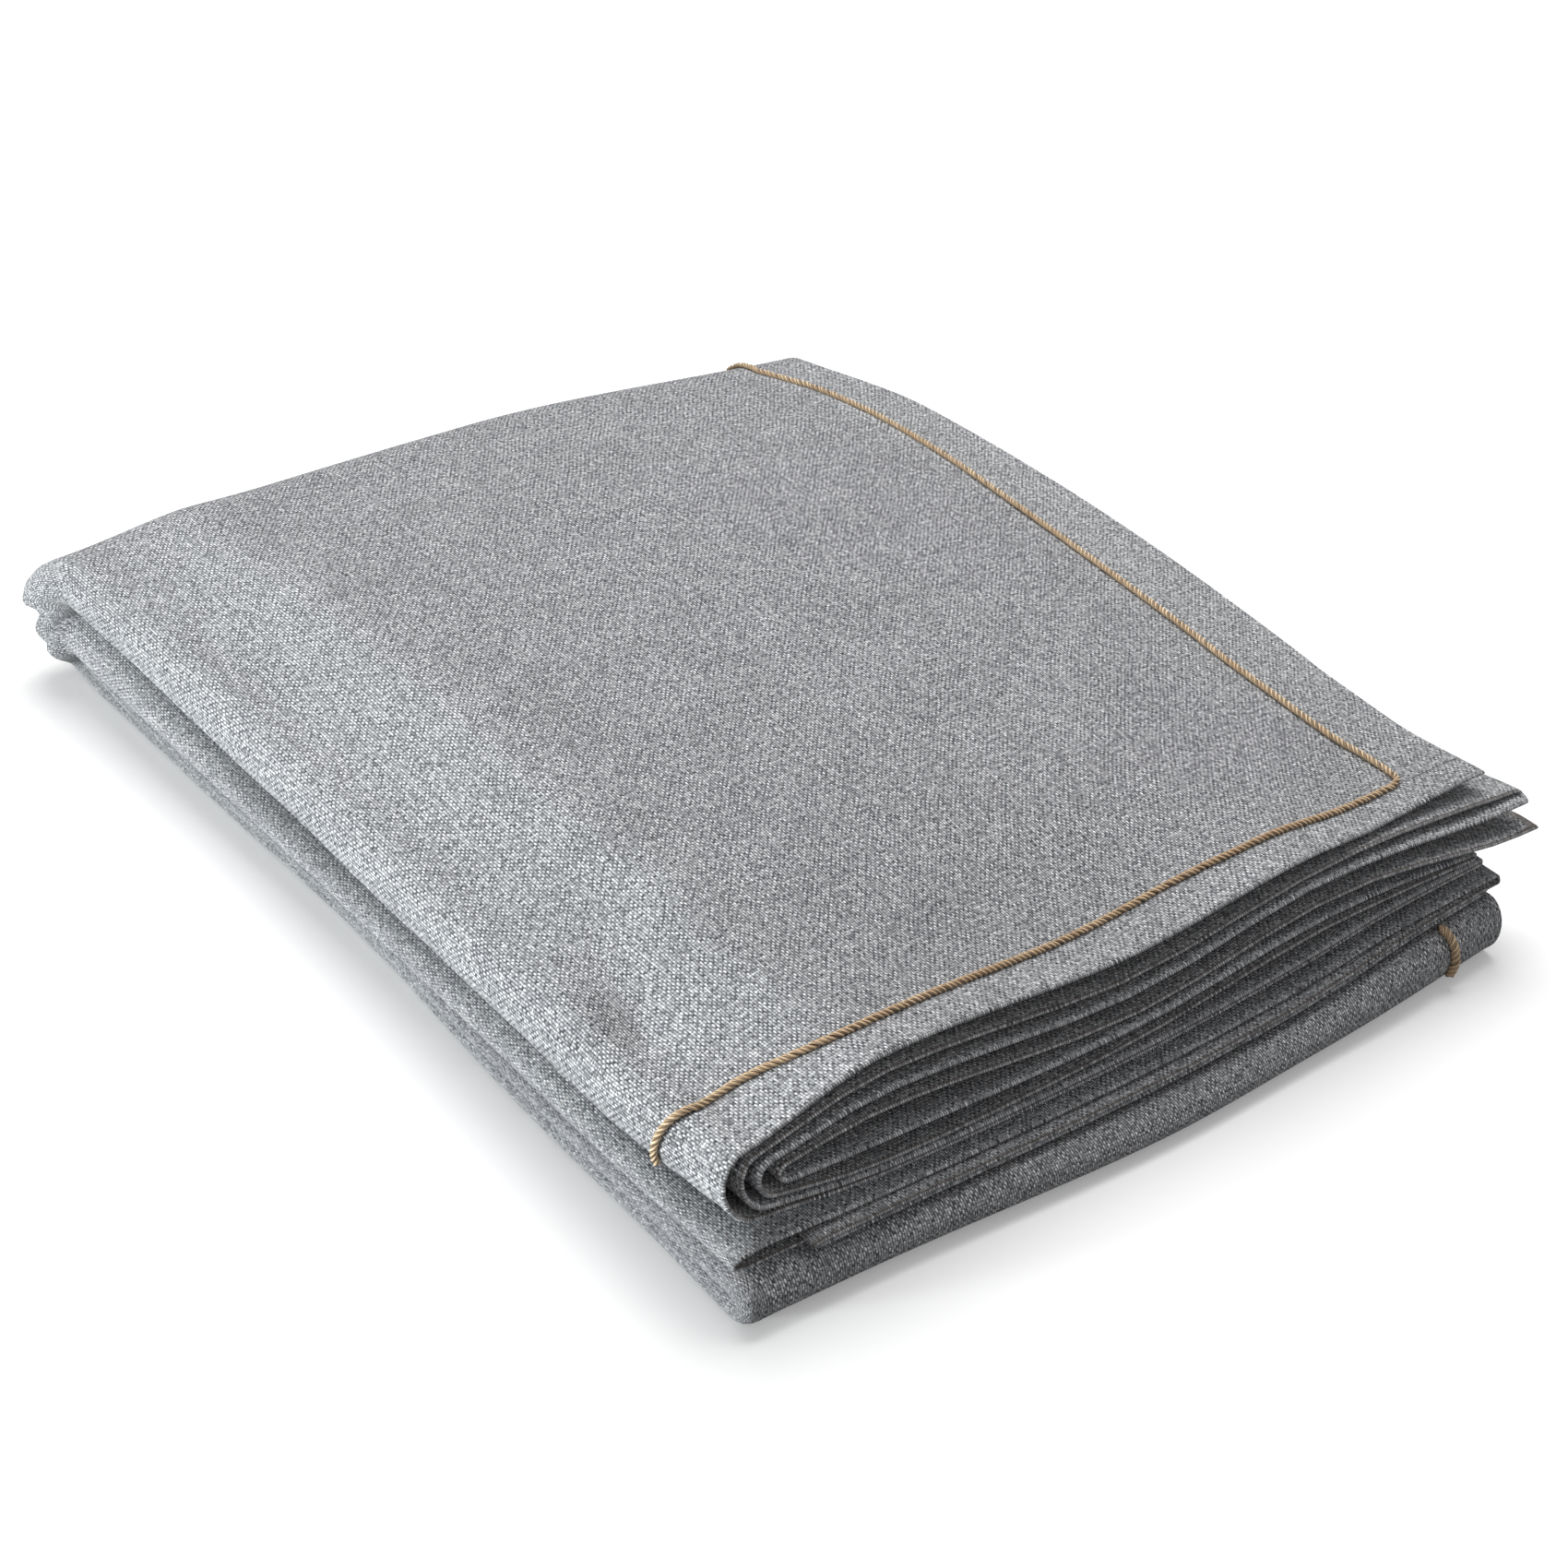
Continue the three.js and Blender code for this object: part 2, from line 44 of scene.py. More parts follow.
bl_info = {
    "name": "Folded Tablecloth",
    "version": (1, 0, 0),
    "blender": (4, 5, 0),
    "location": "View3D > Sidebar > Tablecloth",
    "description": "A woven tablecloth folded into four bundles, with a twisted cord inside its hems",
    "category": "Add Mesh",
}

# All shapes below are in millimetres from the near left corner of the folded cloth.
MM = 0.001
CORNER_TO_FRAME = np.array([143.62, 188.08, 0.0])

# The folded shape, close to the part's source; the left side follows the photograph's creases
FAR_TURN = 356
FAR_TURN_RIGHT_DROP = 15
FAR_TURN_RIGHT_RANGE = (150, 290)
FAR_TURN_LEFT_REACH = 6
FAR_TURN_LEFT_RANGE = (70, -10)
TOP_HEIGHT = 58
CROWN_RISE = 7
CROWN_CENTRE = (175, 215)
CROWN_HALF = (175, 230)
FAR_SAG = 3
FAR_SAG_RANGE = (280, 360)
UNDER_TOP_BUNDLE = 23.5
SIDE_ROUND = (-5, 43)
SECOND_SIDE_BOTTOM = 13.8
RIGHT_NOSE_LIMIT = 6
FRONT_GUESS = 8
NEAR_HEIGHTS = (15, 95)
NEAR_LEFT = (15, 120)
NEAR_RIGHT = (8, 50)
FRONT_TO_RIGHT = (200, 290)
LOW_INNER_TOP = 11.5
FLOOR_LAYER = 0.42
RIGHT_BULGE = 9
RIGHT_BULGE_FROM = 80
RIGHT_BULGE_LENGTH = 280
RIGHT_FAR_DROP = 8
RIGHT_DROP_RANGE = (285, 365)
# The far left corner spreads to the left, with a groove across it
FAR_CORNER_SPREAD = 9.5
FAR_CORNER_RANGE = (40, -8)
FAR_CORNER_HEIGHT = 18
FAR_CORNER_NOTCH = SimpleNamespace(height=38, fall=0.6, half=3.4, depth=0.65, below=0.8)
# The layers' places from the top down, in the order of the cloth. The first four turn on into the lower bundles.
CLOTH_ORDER = (0, 7, 6, 1, 2, 5, 4, 3)
LAST_PLACE = 7
LAST_TURNED = 3
STATIONS = np.array([10, 50, 140, 205, 240, 285])


def table(names, rows):
    """Columns of a table of rows, by name."""
    return SimpleNamespace(**dict(zip(names.split(), np.array(rows, dtype=float).T)))


TOP = table(
    "left nose front front_right right_near right_inner far_reach",
    [
        (9, 10, 12, 16, 290, 285, 0),
        (12, 7.5, 11, 11, 302, 285, 0),
        (15, 5.5, 9, 7, 302, 285, 6),
        (19, 3.5, 8, 3, 305, 283, 9),
        (19, 3.5, 6, 6, 280, 282, 9),
        (15, 5.5, 6, 6, 280, 282, 6),
        (12, 7.5, 5, 6, 284, 284, 0),
        (9, 10, 5, 6, 284, 284, 0),
    ],
)
TOP_NEAR_HEIGHTS = np.array([
    (49, 59.8, 54.3, 60.2, 58, 57.8),
    (46.4, 55, 46.9, 54, 54.8, 51),
    (43.8, 50, 42.6, 51, 51.2, 47.6),
    (41.2, 45.2, 36, 44, 45.5, 40.5),
    (38.6, 36.2, 33, 39.6, 39.8, 36),
    (36, 28.6, 28, 35.6, 36, 34.4),
    (33.5, 27, 24.4, 27.8, 31.6, 32.6),
    (31, 25.4, 22.8, 26.2, 30, 31),
])
SECOND = table(
    "left left_inner nose front front_right right_near right_inner inner",
    [
        (8, 8, 9, 4, 4, 288, 288, 13.8),
        (26, 12, 4, -1, 2, 285, 285, 16),
        (26, 12, 4, -1, 2, 290, 286, 18.2),
        (8, 8, 9, 3, 3, 290, 286, 20.4),
    ],
)
SECOND_NEAR_HEIGHTS = np.array([
    (16.6, 15, 11.8, 13.8, 17.9, 21),
    (18.2, 16.6, 13.3, 15.6, 19.6, 22.6),
    (19.7, 18.2, 14.8, 17.2, 21.4, 24.2),
    (22.8, 20, 16.8, 19.4, 23.8, 26.2),
])
LOW_TOP = np.array([14.9, 13.5, 10.3, 12.2, 16.2, 19.4])
LOW_FRONT = np.array([-3.5, -5, -10.3, -8.6, -7.2, -3.6])
TURNED = table(
    "left nose right far_outer far_inner near",
    [
        (3.8, 5.5, 289, 25, 1.1, 6.5),
        (5.8, 3.2, 287, 22.5, 3.4, 5),
        (5.8, 3.2, 285, 11.5, 5.4, 2.6),
        (3.8, 5.5, 285, 9.5, 7.4, 0.9),
    ],
)
TURNED_ROW = np.array([0, 1, 0, 0, 0, 0, 2, 3])
LEFT_SIDE = table(
    "y top second third low middle half second_top",
    [
        (10, 0.3, 0, -0.2, -0.9, 40.3, 9.2, 25),
        (40, 3.8, 2.1, 0.4, -1.1, 38.4, 11, 25),
        (110, 4.5, 2.7, 0.3, -0.3, 37.4, 9.2, 23.6),
        (180, 4.5, 4.2, 0.6, -2.4, 35.7, 10.2, 21.6),
        (215, 4.8, 5, 0.6, -1.7, 35.9, 9.4, 20.8),
        (265, 5.4, 7.3, 3.2, 0.9, 35.4, 10.4, 22.5),
        (315, 8.4, 9.9, 5.2, 2.7, 38.3, 9.3, 27),
        (356, 11.4, 11.7, 4.9, 4.3, 40.2, 7.8, 29.4),
    ],
)

# Soft creases of the top bundle: half width, rise (a trough is below zero), and the points it runs through
SOFT_CREASES = [
    (8.0, -2.2, [(40, 118), (20, 84), (2, 44)]),
    (7.0, 0.9, [(24, 140), (8, 100), (-2, 62)]),
    (11.0, -0.7, [(60, 300), (120, 262), (196, 250)]),
    (9.0, 0.5, [(70, 210), (140, 190), (214, 196)]),
    (12.0, -0.5, [(96, 150), (150, 118), (232, 120)]),
    (9.0, -0.45, [(150, 330), (210, 322), (262, 300)]),
    (10.0, 0.45, [(36, 250), (58, 200), (60, 150)]),
    (8.0, 0.5, [(110, 60), (160, 66), (220, 58)]),
    (9.0, -0.4, [(200, 170), (240, 214), (250, 262)]),
]
CREASE_FADE = (0.12, 0.88)

# How far each layer of the top bundle hangs at its near right tip
TIP_DROOP = np.array([1, 2.1, 0.5, 1.6, 0, 0, 0, 0])
TIP_DROOP_RANGE = (280.0, 304.0)

# Width over which the cloth thickens at a hem, and how far its rim stands out, in half thicknesses
HEM_STEP = 1.6
RIM_REACH = 0.9

# The twisted cord over the top: the right run from the far end to the corner, then the near run
CORD_RIGHT_RUN = [
    (258.5, 341), (262, 331.5), (266, 318.5), (269.2, 296.5), (270.8, 269), (270.8, 244.5), (269.5, 221.5),
    (266.2, 172), (262.6, 120), (260.5, 96), (260.2, 73), (260.8, 51.5), (262.3, 40), (262.8, 31.5),
]
CORD_CORNER = [(262.6, 28.4), (261.6, 26.2), (259.0, 25.0)]
CORD_NEAR_RUN = [
    (255, 24.6), (237, 24.2), (221, 24.3), (207, 25), (192, 25.6), (179, 26.6), (165, 27.2), (151, 27), (137, 26.4),
    (122, 25.6), (94, 24.7), (67, 23.9), (52, 23.8), (43, 24.6), (33, 26.8), (26, 29), (18, 30.8), (11, 31.2),
]
CORD_LEFT_ALONG = (0.0545, 0.074)
CORD_LEFT_END = 0.66 * math.pi
CORD_BAND_ACROSS = 0.909
CORD_FLATTENED = 0.9
CORD_ABOVE_FLOOR = 0.02
# Where the cord is more russet: towards the near left of these places
RUSSET_ALONG = (34, 26)
RUSSET_ACROSS = (266, 258)

# The looks of the threads: shares, shades and ranges of tone
THREAD_DRIFT = 1.6
THREAD_LEVEL = 0.55
YARN_SHARE = 0.32
WARP_LIGHTER = (0.44, -0.24)
LOW_SHADE = 0.85
PAIR_SHADE = 0.6
MOTTLE = (0.93, 1.06)
GRAIN = (0.45, 1.55)
SEAM_SHADE = 0.28
STRAW = (0.85, 0.7, 0.48)
# Painted shade in the grooves between the cord's plies
PAINTED_GROOVE_SHADE = (0.11, 0.06, 0.03)
RUSSET = (0.72, 0.5, 0.4)
BLACK, WHITE = (0.0, 0.0, 0.0), (1.0, 1.0, 1.0)

# The stage, in metres
FLOOR_LEVEL = -0.0002
SIDE_LIGHT = SimpleNamespace(place=(-1.05, 0.08, 0.065), size=0.12, tint=(0.955, 1.0, 1.01))
OVERHEAD_LIGHT = SimpleNamespace(place=(0.3, 0.5, 1.45), size=1.2, tint=WHITE)
LIGHT_TARGET = (0.0, 0.0, 0.03)
SENSOR_WIDTH = 36.0


def mix(a, b, t):
    return a + (b - a) * t


def ease(limits, value):
    t = np.clip((value - limits[0]) / (limits[1] - limits[0]), 0, 1)
    return t * t * (3 - 2 * t)


def unit(vectors):
    return vectors / np.maximum(np.linalg.norm(vectors, axis=-1, keepdims=True), 1e-9)


def running_total(lengths):
    return np.concatenate([[0], np.cumsum(lengths)])


def lengths_along(points):
    """The distance of each point from the first one, along the path."""
    return running_total(np.linalg.norm(np.diff(points, axis=0), axis=1))


def curve_through(places, values, where):
    """A smooth curve through the values given at some places, level beyond the first and last."""
    where = np.asarray(where, dtype=float)
    values = np.broadcast_to(values, where.shape + (len(places),))
    last = len(places) - 1
    place = np.clip(where, places[0], places[last])
    i = np.clip(np.searchsorted(places, place) - 1, 0, last - 1)

    def value(k):
        return np.take_along_axis(values, np.clip(k, 0, last)[..., None], -1)[..., 0]

    def slope(k):
        before, after = np.clip(k - 1, 0, last), np.clip(k + 1, 0, last)
        return (value(after) - value(before)) / (places[after] - places[before])

    width = places[i + 1] - places[i]
    t = (place - places[i]) / width
    rise = value(i + 1) - value(i)
    bend = (1 - t) * (slope(i) * width - rise) - t * (slope(i + 1) * width - rise)
    return value(i) + rise * t + t * (1 - t) * bend


def across_stations(rows, x):
    return curve_through(STATIONS, rows, x)


def along_left_side(column, y):
    return curve_through(LEFT_SIDE.y, column, y)


def nearness(y):
    return 1 - ease(NEAR_HEIGHTS, y)


def distance_to_path(x, y, points):
    """How far places lie from a path of straight stretches, and how far along it they are, from 0 to 1."""
    best = np.full(np.shape(x), np.inf)
    along = np.zeros(np.shape(x))
    points = np.array(points, dtype=float)
    lengths = np.hypot(*np.diff(points, axis=0).T)
    total, passed = lengths.sum(), 0.0
    for (ax, ay), (bx, by), length in zip(points[:-1], points[1:], lengths):
        t = np.clip(((x - ax) * (bx - ax) + (y - ay) * (by - ay)) / length**2, 0, 1)
        d = np.hypot(x - mix(ax, bx, t), y - mix(ay, by, t))
        nearer = d < best
        best = np.where(nearer, d, best)
        along = np.where(nearer, (passed + t * length) / total, along)
        passed += length
    return best, along


def crease_height(x, y):
    """The soft troughs and ridges of the top, fading out towards both ends of each."""
    height = np.zeros(np.shape(x))
    for half_width, rise, points in SOFT_CREASES:
        distance, along = distance_to_path(x, y, points)
        height += rise * np.exp(-(distance / half_width) ** 2) * np.sin(np.pi * mix(*CREASE_FADE, along))
    return height


def top_surface(x, y):
    dx = (x - CROWN_CENTRE[0]) / CROWN_HALF[0]
    dy = (y - CROWN_CENTRE[1]) / CROWN_HALF[1]
    crown = CROWN_RISE * np.maximum(0, 1 - dx * dx) * np.maximum(0, 1 - dy * dy)
    return TOP_HEIGHT + crown - FAR_SAG * ease(FAR_SAG_RANGE, y)


def side_rounding(x, y):
    return ease(SIDE_ROUND, x - left_of(BUNDLES.top, np.zeros(np.shape(x), int), y))


def tip_droop(place, x, y):
    """The right ends of the upper layers hang a little at the near corner."""
    return TIP_DROOP[place] * ease(TIP_DROOP_RANGE, x) * (1 - ease(NEAR_RIGHT, y))


def top_bundle_height(place, x, y):
    down = place / LAST_PLACE
    open_height = mix(top_surface(x, y), UNDER_TOP_BUNDLE, down)
    side = along_left_side(LEFT_SIDE.middle, y) + along_left_side(LEFT_SIDE.half, y) * (1 - 2 * down)
    inner = mix(side, open_height, side_rounding(x, y))
    height = mix(inner, across_stations(TOP_NEAR_HEIGHTS[place], x), nearness(y))
    return height + crease_height(x, y) * (1 - down) - tip_droop(place, x, y)


def second_bundle_height(place, x, y):
    row = TURNED_ROW[place]
    side = mix(SECOND_SIDE_BOTTOM, along_left_side(LEFT_SIDE.second_top, y), row / LAST_TURNED)
    inner = mix(side, SECOND.inner[row], side_rounding(x, y))
    return mix(inner, across_stations(SECOND_NEAR_HEIGHTS[row], x), nearness(y))


def low_bundle_height(level, x, y):
    top = mix(LOW_INNER_TOP, across_stations(LOW_TOP, x), nearness(y))
    return mix(FLOOR_LAYER, top, level / LAST_PLACE)


def far_turn(x):
    back = FAR_TURN - FAR_TURN_RIGHT_DROP * ease(FAR_TURN_RIGHT_RANGE, x)
    return back + FAR_TURN_LEFT_REACH * ease(FAR_TURN_LEFT_RANGE, x)


def near_turn(place, x):
    return across_stations(LOW_FRONT, x) + TURNED.near[0]


def bundle(rows, row, ends, edge, height, front=None, far_reach=np.zeros(8)):
    """A bundle from its table: its ends are the near and inner left ones, then the right ones."""
    def hemmed_front(p, x):
        return mix(rows.front[row[p]], rows.front_right[row[p]], ease(FRONT_TO_RIGHT, x))

    columns = [getattr(rows, name) for name in ends.split()]
    return SimpleNamespace(
        ends=lambda p: [column[row[p]] for column in columns], nose=lambda p: rows.nose[row[p]],
        far_reach=lambda p: far_reach[p], edge=edge, height=height, front=front or hemmed_front)


BUNDLES = SimpleNamespace(
    top=bundle(TOP, np.arange(8), "left left right_near right_inner", LEFT_SIDE.top,
               top_bundle_height, far_reach=TOP.far_reach),
    second=bundle(SECOND, TURNED_ROW, "left left_inner right_near right_inner", LEFT_SIDE.second,
                  second_bundle_height),
    third=bundle(TURNED, TURNED_ROW, "left left right right", LEFT_SIDE.third,
                 lambda p, x, y: low_bundle_height(LAST_PLACE - TURNED_ROW[p], x, y), near_turn),
    lowest=bundle(TURNED, TURNED_ROW, "left left right right", LEFT_SIDE.low,
                  lambda p, x, y: low_bundle_height(TURNED_ROW[p], x, y), near_turn),
)


def left_of(which, place, y):
    left, left_inner = which.ends(place)[:2]
    return mix(left, left_inner, ease(NEAR_LEFT, y)) - along_left_side(which.edge, y)


def right_of(which, place, y):
    right_near, right_inner = which.ends(place)[2:]
    along = np.clip((y - RIGHT_BULGE_FROM) / RIGHT_BULGE_LENGTH, 0, 1)
    bulge = RIGHT_BULGE * np.sin(np.pi * along) - RIGHT_FAR_DROP * ease(RIGHT_DROP_RANGE, y)
    return mix(right_near, right_inner, ease(NEAR_RIGHT, y)) + bulge


def cloth_lines(first, second, across, angle):
    """Lines that run along the cloth, on a layer or in the fold that joins two layers."""
    first, second, across, angle = np.broadcast_arrays(first, second, across, angle)
    turn = (1 - np.cos(angle)) / 2
    return SimpleNamespace(first=first, second=second, across=across, angle=angle, turn=turn)


def cross_section(which, lines, y):
    """Where a bundle's lines lie across it and in height, at places along it."""
    def at(place):
        x = mix(left_of(which, place, y), right_of(which, place, y), lines.across)
        return x, which.height(place, x, y)

    (ax, az), (bx, bz) = at(lines.first), at(lines.second)
    right_reach = np.minimum(np.abs(az - bz) / 2, RIGHT_NOSE_LIMIT)
    reach = np.where(lines.across == 0, -which.nose(lines.first), right_reach)
    return mix(ax, bx, lines.turn) + reach * np.sin(lines.angle), mix(az, bz, lines.turn)


def blend_places(lines, value):
    return mix(value(lines.first), value(lines.second), lines.turn)


def run_points(which, lines, along):
    """Points on a bundle's run: along goes from 0 at its front to 1 at the far turn."""
    guess, _ = cross_section(which, lines, mix(FRONT_GUESS, FAR_TURN, along) + 0 * lines.across)
    front = blend_places(lines, lambda place: which.front(place, guess))
    y = mix(front, far_turn(guess) + blend_places(lines, which.far_reach), along)
    x, z = cross_section(which, lines, y)
    return np.stack([x, y, z], -1)


def fold_points(first, second, lines, reach_name, angle):
    """Points in the fold that joins two bundles, part of the way round it."""
    at_front = reach_name == "near"
    a, b = (run_points(which, lines, 0.0 if at_front else 1.0) for which in (first, second))
    reach = blend_places(lines, lambda place: getattr(TURNED, reach_name)[TURNED_ROW[place]]) * np.sin(angle)
    turn = np.asarray((1 - np.cos(angle)) / 2)[..., None]
    points = mix(a, b, turn)
    points[..., 1] += -reach if at_front else reach
    if not at_front:
        x, y, z = np.moveaxis(points, -1, 0)
        notch = FAR_CORNER_NOTCH
        above = z - notch.height + notch.fall * (y - FAR_TURN)
        share = ease(FAR_CORNER_RANGE, x) * ease((0, FAR_CORNER_HEIGHT), z)
        share = share * (1 - notch.depth * np.exp(-(above / notch.half) ** 2))
        share = share * np.where(above < 0, notch.below, 1)
        points[..., 0] -= FAR_CORNER_SPREAD * np.sin(angle) * share
    return points


def even(count, start=0.0, end=1.0):
    return np.linspace(start, end, count)


# Where the folded cloth has its lines and stops: closer together where it bends or is hemmed
FINE_ACROSS = np.concatenate([
    even(14, 0, 0.14), even(34, 0.16, 0.86), even(10, 0.872, 0.96), [0.972, 0.984, 0.993, 1.0]])
PLAIN_ACROSS = np.array([0, .02, .05, .09, .14, .2, .27, .35, .43, .51, .59, .67, .75, .82, .88, .93, .97, 1])
FOLD_ANGLES = np.pi * even(9)[1:-1]
TOP_ALONG = np.concatenate([
    [0, 0.004, 0.009, 0.015], even(20, 0.021, 0.085), even(9, 0.095, 0.18), even(31, 0.2, 0.97)])
LOW_ALONG = np.array([
    .006, .015, .03, .05, .08, .12, .17, .23, .3, .38, .47, .56, .65, .74, .82, .89, .94, .975])
FAR_ANGLES = np.pi * even(31)
NEAR_ANGLES = np.pi * even(17)
INNER_ANGLES = np.pi * even(11)

# The points at the corners of the cells between them, in turn round each cell
CELL_CORNERS = [np.s_[:-1, :-1], np.s_[:-1, 1:], np.s_[1:, 1:], np.s_[1:, :-1]]


def all_lines():
    """The lines of the whole folded width, in the order of the cloth, and how many go round the folds."""
    rows = []
    for i, place in enumerate(CLOTH_ORDER):
        leftward = i % 2 == 0
        fractions = FINE_ACROSS if i == 0 else PLAIN_ACROSS
        rows += [(place, place, fraction, 0.0, i) for fraction in (fractions[::-1] if leftward else fractions)]
        if i < len(CLOTH_ORDER) - 1:
            side = 0.0 if leftward else 1.0
            rows += [(place, CLOTH_ORDER[i + 1], side, angle, i + 0.5) for angle in FOLD_ANGLES]
    first, second, across, angle, layers = (np.array(column) for column in zip(*rows))
    return cloth_lines(first, second, across, angle), np.sum(layers <= LAST_TURNED), layers


def part_of(lines, count):
    return SimpleNamespace(**{name: values[:count] for name, values in vars(lines).items()})


def middle_surface():
    """The middle surface of the cloth as a grid of stops and lines, nan where there is no cloth."""
    lines, turning, layers = all_lines()
    b = BUNDLES
    rows = [run_points(b.top, lines, along) for along in [*TOP_ALONG, 1.0]]
    top_stops = len(rows)
    turned = part_of(lines, turning)
    rows += [fold_points(b.top, b.lowest, turned, "far_outer", a) for a in FAR_ANGLES[1:]]
    rows += [run_points(b.lowest, turned, along) for along in LOW_ALONG[::-1]]
    rows += [fold_points(b.lowest, b.third, turned, "near", a) for a in NEAR_ANGLES]
    rows += [run_points(b.third, turned, along) for along in LOW_ALONG]
    rows += [fold_points(b.third, b.second, turned, "far_inner", a) for a in INNER_ANGLES]
    rows += [run_points(b.second, turned, along) for along in [*LOW_ALONG[::-1], 0.0]]
    grid = np.full((len(rows), len(lines.across), 3), np.nan)
    for j, row in enumerate(rows):
        grid[j, :len(row)] = row
    return SimpleNamespace(grid=grid, top_stops=top_stops, layers=layers)


def surface_normals(grid):
    """Unit normals of the middle surface, averaged over the cells round each point."""
    a, b, c, d = (grid[corner] for corner in CELL_CORNERS)
    faces = np.nan_to_num(unit(np.cross(d - b, c - a)))
    normals = np.zeros_like(grid)
    for corner in CELL_CORNERS:
        normals[corner] += faces
    return unit(normals)


def cloth_uv(surface):
    """Lengths along the threads in millimetres, from the right hem and from the near hem."""
    top = surface.grid[:surface.top_stops]
    across = np.linalg.norm(np.diff(top, axis=1), axis=-1).mean(axis=0)
    spans = np.linalg.norm(np.diff(surface.grid, axis=0), axis=-1)
    along = np.max([spans[:, surface.layers == layer].mean(axis=1) for layer in range(4)], axis=0)
    return running_total(across), running_total(along)


def near_cord_distance(x):
    """How far back the cord of the near hem lies."""
    return np.interp(x, *np.array(sorted(CORD_NEAR_RUN)).T)


def hemmed_within(width, distance):
    return ease((width + HEM_STEP, width), distance)


def half_thickness(surface, u, v, sizes):
    """The cloth is thicker where it is hemmed: beside the near edges of both upper bundles and at both ends."""
    x, y = surface.grid[..., 0], surface.grid[..., 1]
    on_top = (np.arange(len(v)) < surface.top_stops)[:, None]
    near_hem, end_hem = 1000 * sizes.near_hem, 1000 * sizes.end_hem
    near = np.where((surface.layers == 0) & on_top, hemmed_within(0, y - near_cord_distance(x)),
                    hemmed_within(near_hem, v)[:, None])
    far_end = hemmed_within(near_hem, v[-1] - v)[:, None]
    ends = np.maximum(hemmed_within(end_hem, u), hemmed_within(end_hem, u[-1] - u))
    top_hems = np.maximum(near, ends) * on_top
    thin, top_hem, low_hem = (1000 * t for t in (sizes.half_thickness, sizes.hem_half, sizes.low_hem_half))
    half = np.maximum(mix(thin, top_hem, top_hems), mix(thin, low_hem, far_end))
    return np.nan_to_num(half, nan=thin), np.nan_to_num(np.maximum(top_hems, far_end))


def smooth_mesh(name, points, faces, uv, attributes):
    """A smooth mesh from points in millimetres, with the threads' directions and values at its points."""
    mesh = bpy.data.meshes.new(name)
    mesh.from_pydata(((points - CORNER_TO_FRAME) * MM).tolist(), [], faces)
    mesh.update()
    loops = np.empty(len(mesh.loops), dtype=np.int32)
    mesh.loops.foreach_get("vertex_index", loops)
    mesh.uv_layers.new(name="threads").data.foreach_set("uv", uv[loops].ravel())
    for attribute, values in attributes.items():
        mesh.attributes.new(attribute, "FLOAT", "POINT").data.foreach_set("value", values)
    mesh.polygons.foreach_set("use_smooth", np.ones(len(mesh.polygons), dtype=bool))
    mesh.update()
    return mesh


def outer_edges(sides):
    """The edges that belong to one cell only, out of the cells' four sides."""
    edges = {}
    for starts, ends in sides:
        for start, end in zip(starts.tolist(), ends.tolist()):
            if (end, start) in edges:
                del edges[(end, start)]
            else:
                edges[(start, end)] = True
    return np.array(list(edges))


def sheet_mesh(name, surface, sizes):
    """The closed sheet: both faces of the middle surface, and a rounded rim round its edge."""
    there = ~np.isnan(surface.grid[..., 0])
    kept = there.sum()
    number = np.full(there.shape, -1)
    number[there] = np.arange(kept)
    u, v = cloth_uv(surface)
    half, hemmed = half_thickness(surface, u, v, sizes)
    middle, normals, half = surface.grid[there], surface_normals(surface.grid)[there], half[there][:, None]
    cells = np.all([there[corner] for corner in CELL_CORNERS], axis=0)
    a, b, c, d = (number[corner][cells] for corner in CELL_CORNERS)
    edges = outer_edges(((a, d), (d, c), (c, b), (b, a)))
    p, q = edges.T
    side = unit(np.cross(middle[q] - middle[p], normals[p]))
    outward = np.zeros_like(middle)
    np.add.at(outward, p, side)
    np.add.at(outward, q, side)
    rim_points = np.unique(edges)
    rim = middle[rim_points] + unit(outward[rim_points]) * half[rim_points] * RIM_REACH
    rim_number = np.full(kept, -1)
    rim_number[rim_points] = np.arange(len(rim_points)) + 2 * kept
    faces = np.concatenate([
        np.stack([a, d, c, b], -1), np.stack([a, b, c, d], -1) + kept,
        np.stack([p, rim_number[p], rim_number[q], q], -1),
        np.stack([rim_number[p], p + kept, q + kept, rim_number[q]], -1)])
    points = np.concatenate([middle + normals * half, middle - normals * half, rim])
    points[:, 2] = np.maximum(points[:, 2], 0)

    def both_and_rim(values):
        return np.concatenate([values, values, values[rim_points]])

    stop, line = np.nonzero(there)
    uv = both_and_rim(np.stack([u[line], v[stop]], -1)) * MM
    top_layer = both_and_rim(((surface.layers[line] == 0) & (stop < surface.top_stops)).astype(float))
    top_layer[kept:2 * kept] = 0
    # Painted shadow: the lower face at each rim is marked, and its material paints dark brown shade there, under
    # each layer's edge.
    under_edge = np.zeros(len(points))
    under_edge[rim_points + kept] = 1
    attributes = {"under_edge": under_edge, "top_layer": top_layer, "hem": both_and_rim(hemmed[there])}
    return smooth_mesh(name, points, faces.tolist(), uv, attributes)


def place_piece(name, mesh, material, node):
    """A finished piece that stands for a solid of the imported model."""
    piece = bpy.data.objects.new(name, mesh)
    bpy.context.scene.collection.objects.link(piece)
    mesh.materials.append(material)
    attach(piece, "root")
    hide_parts(node)
    return piece


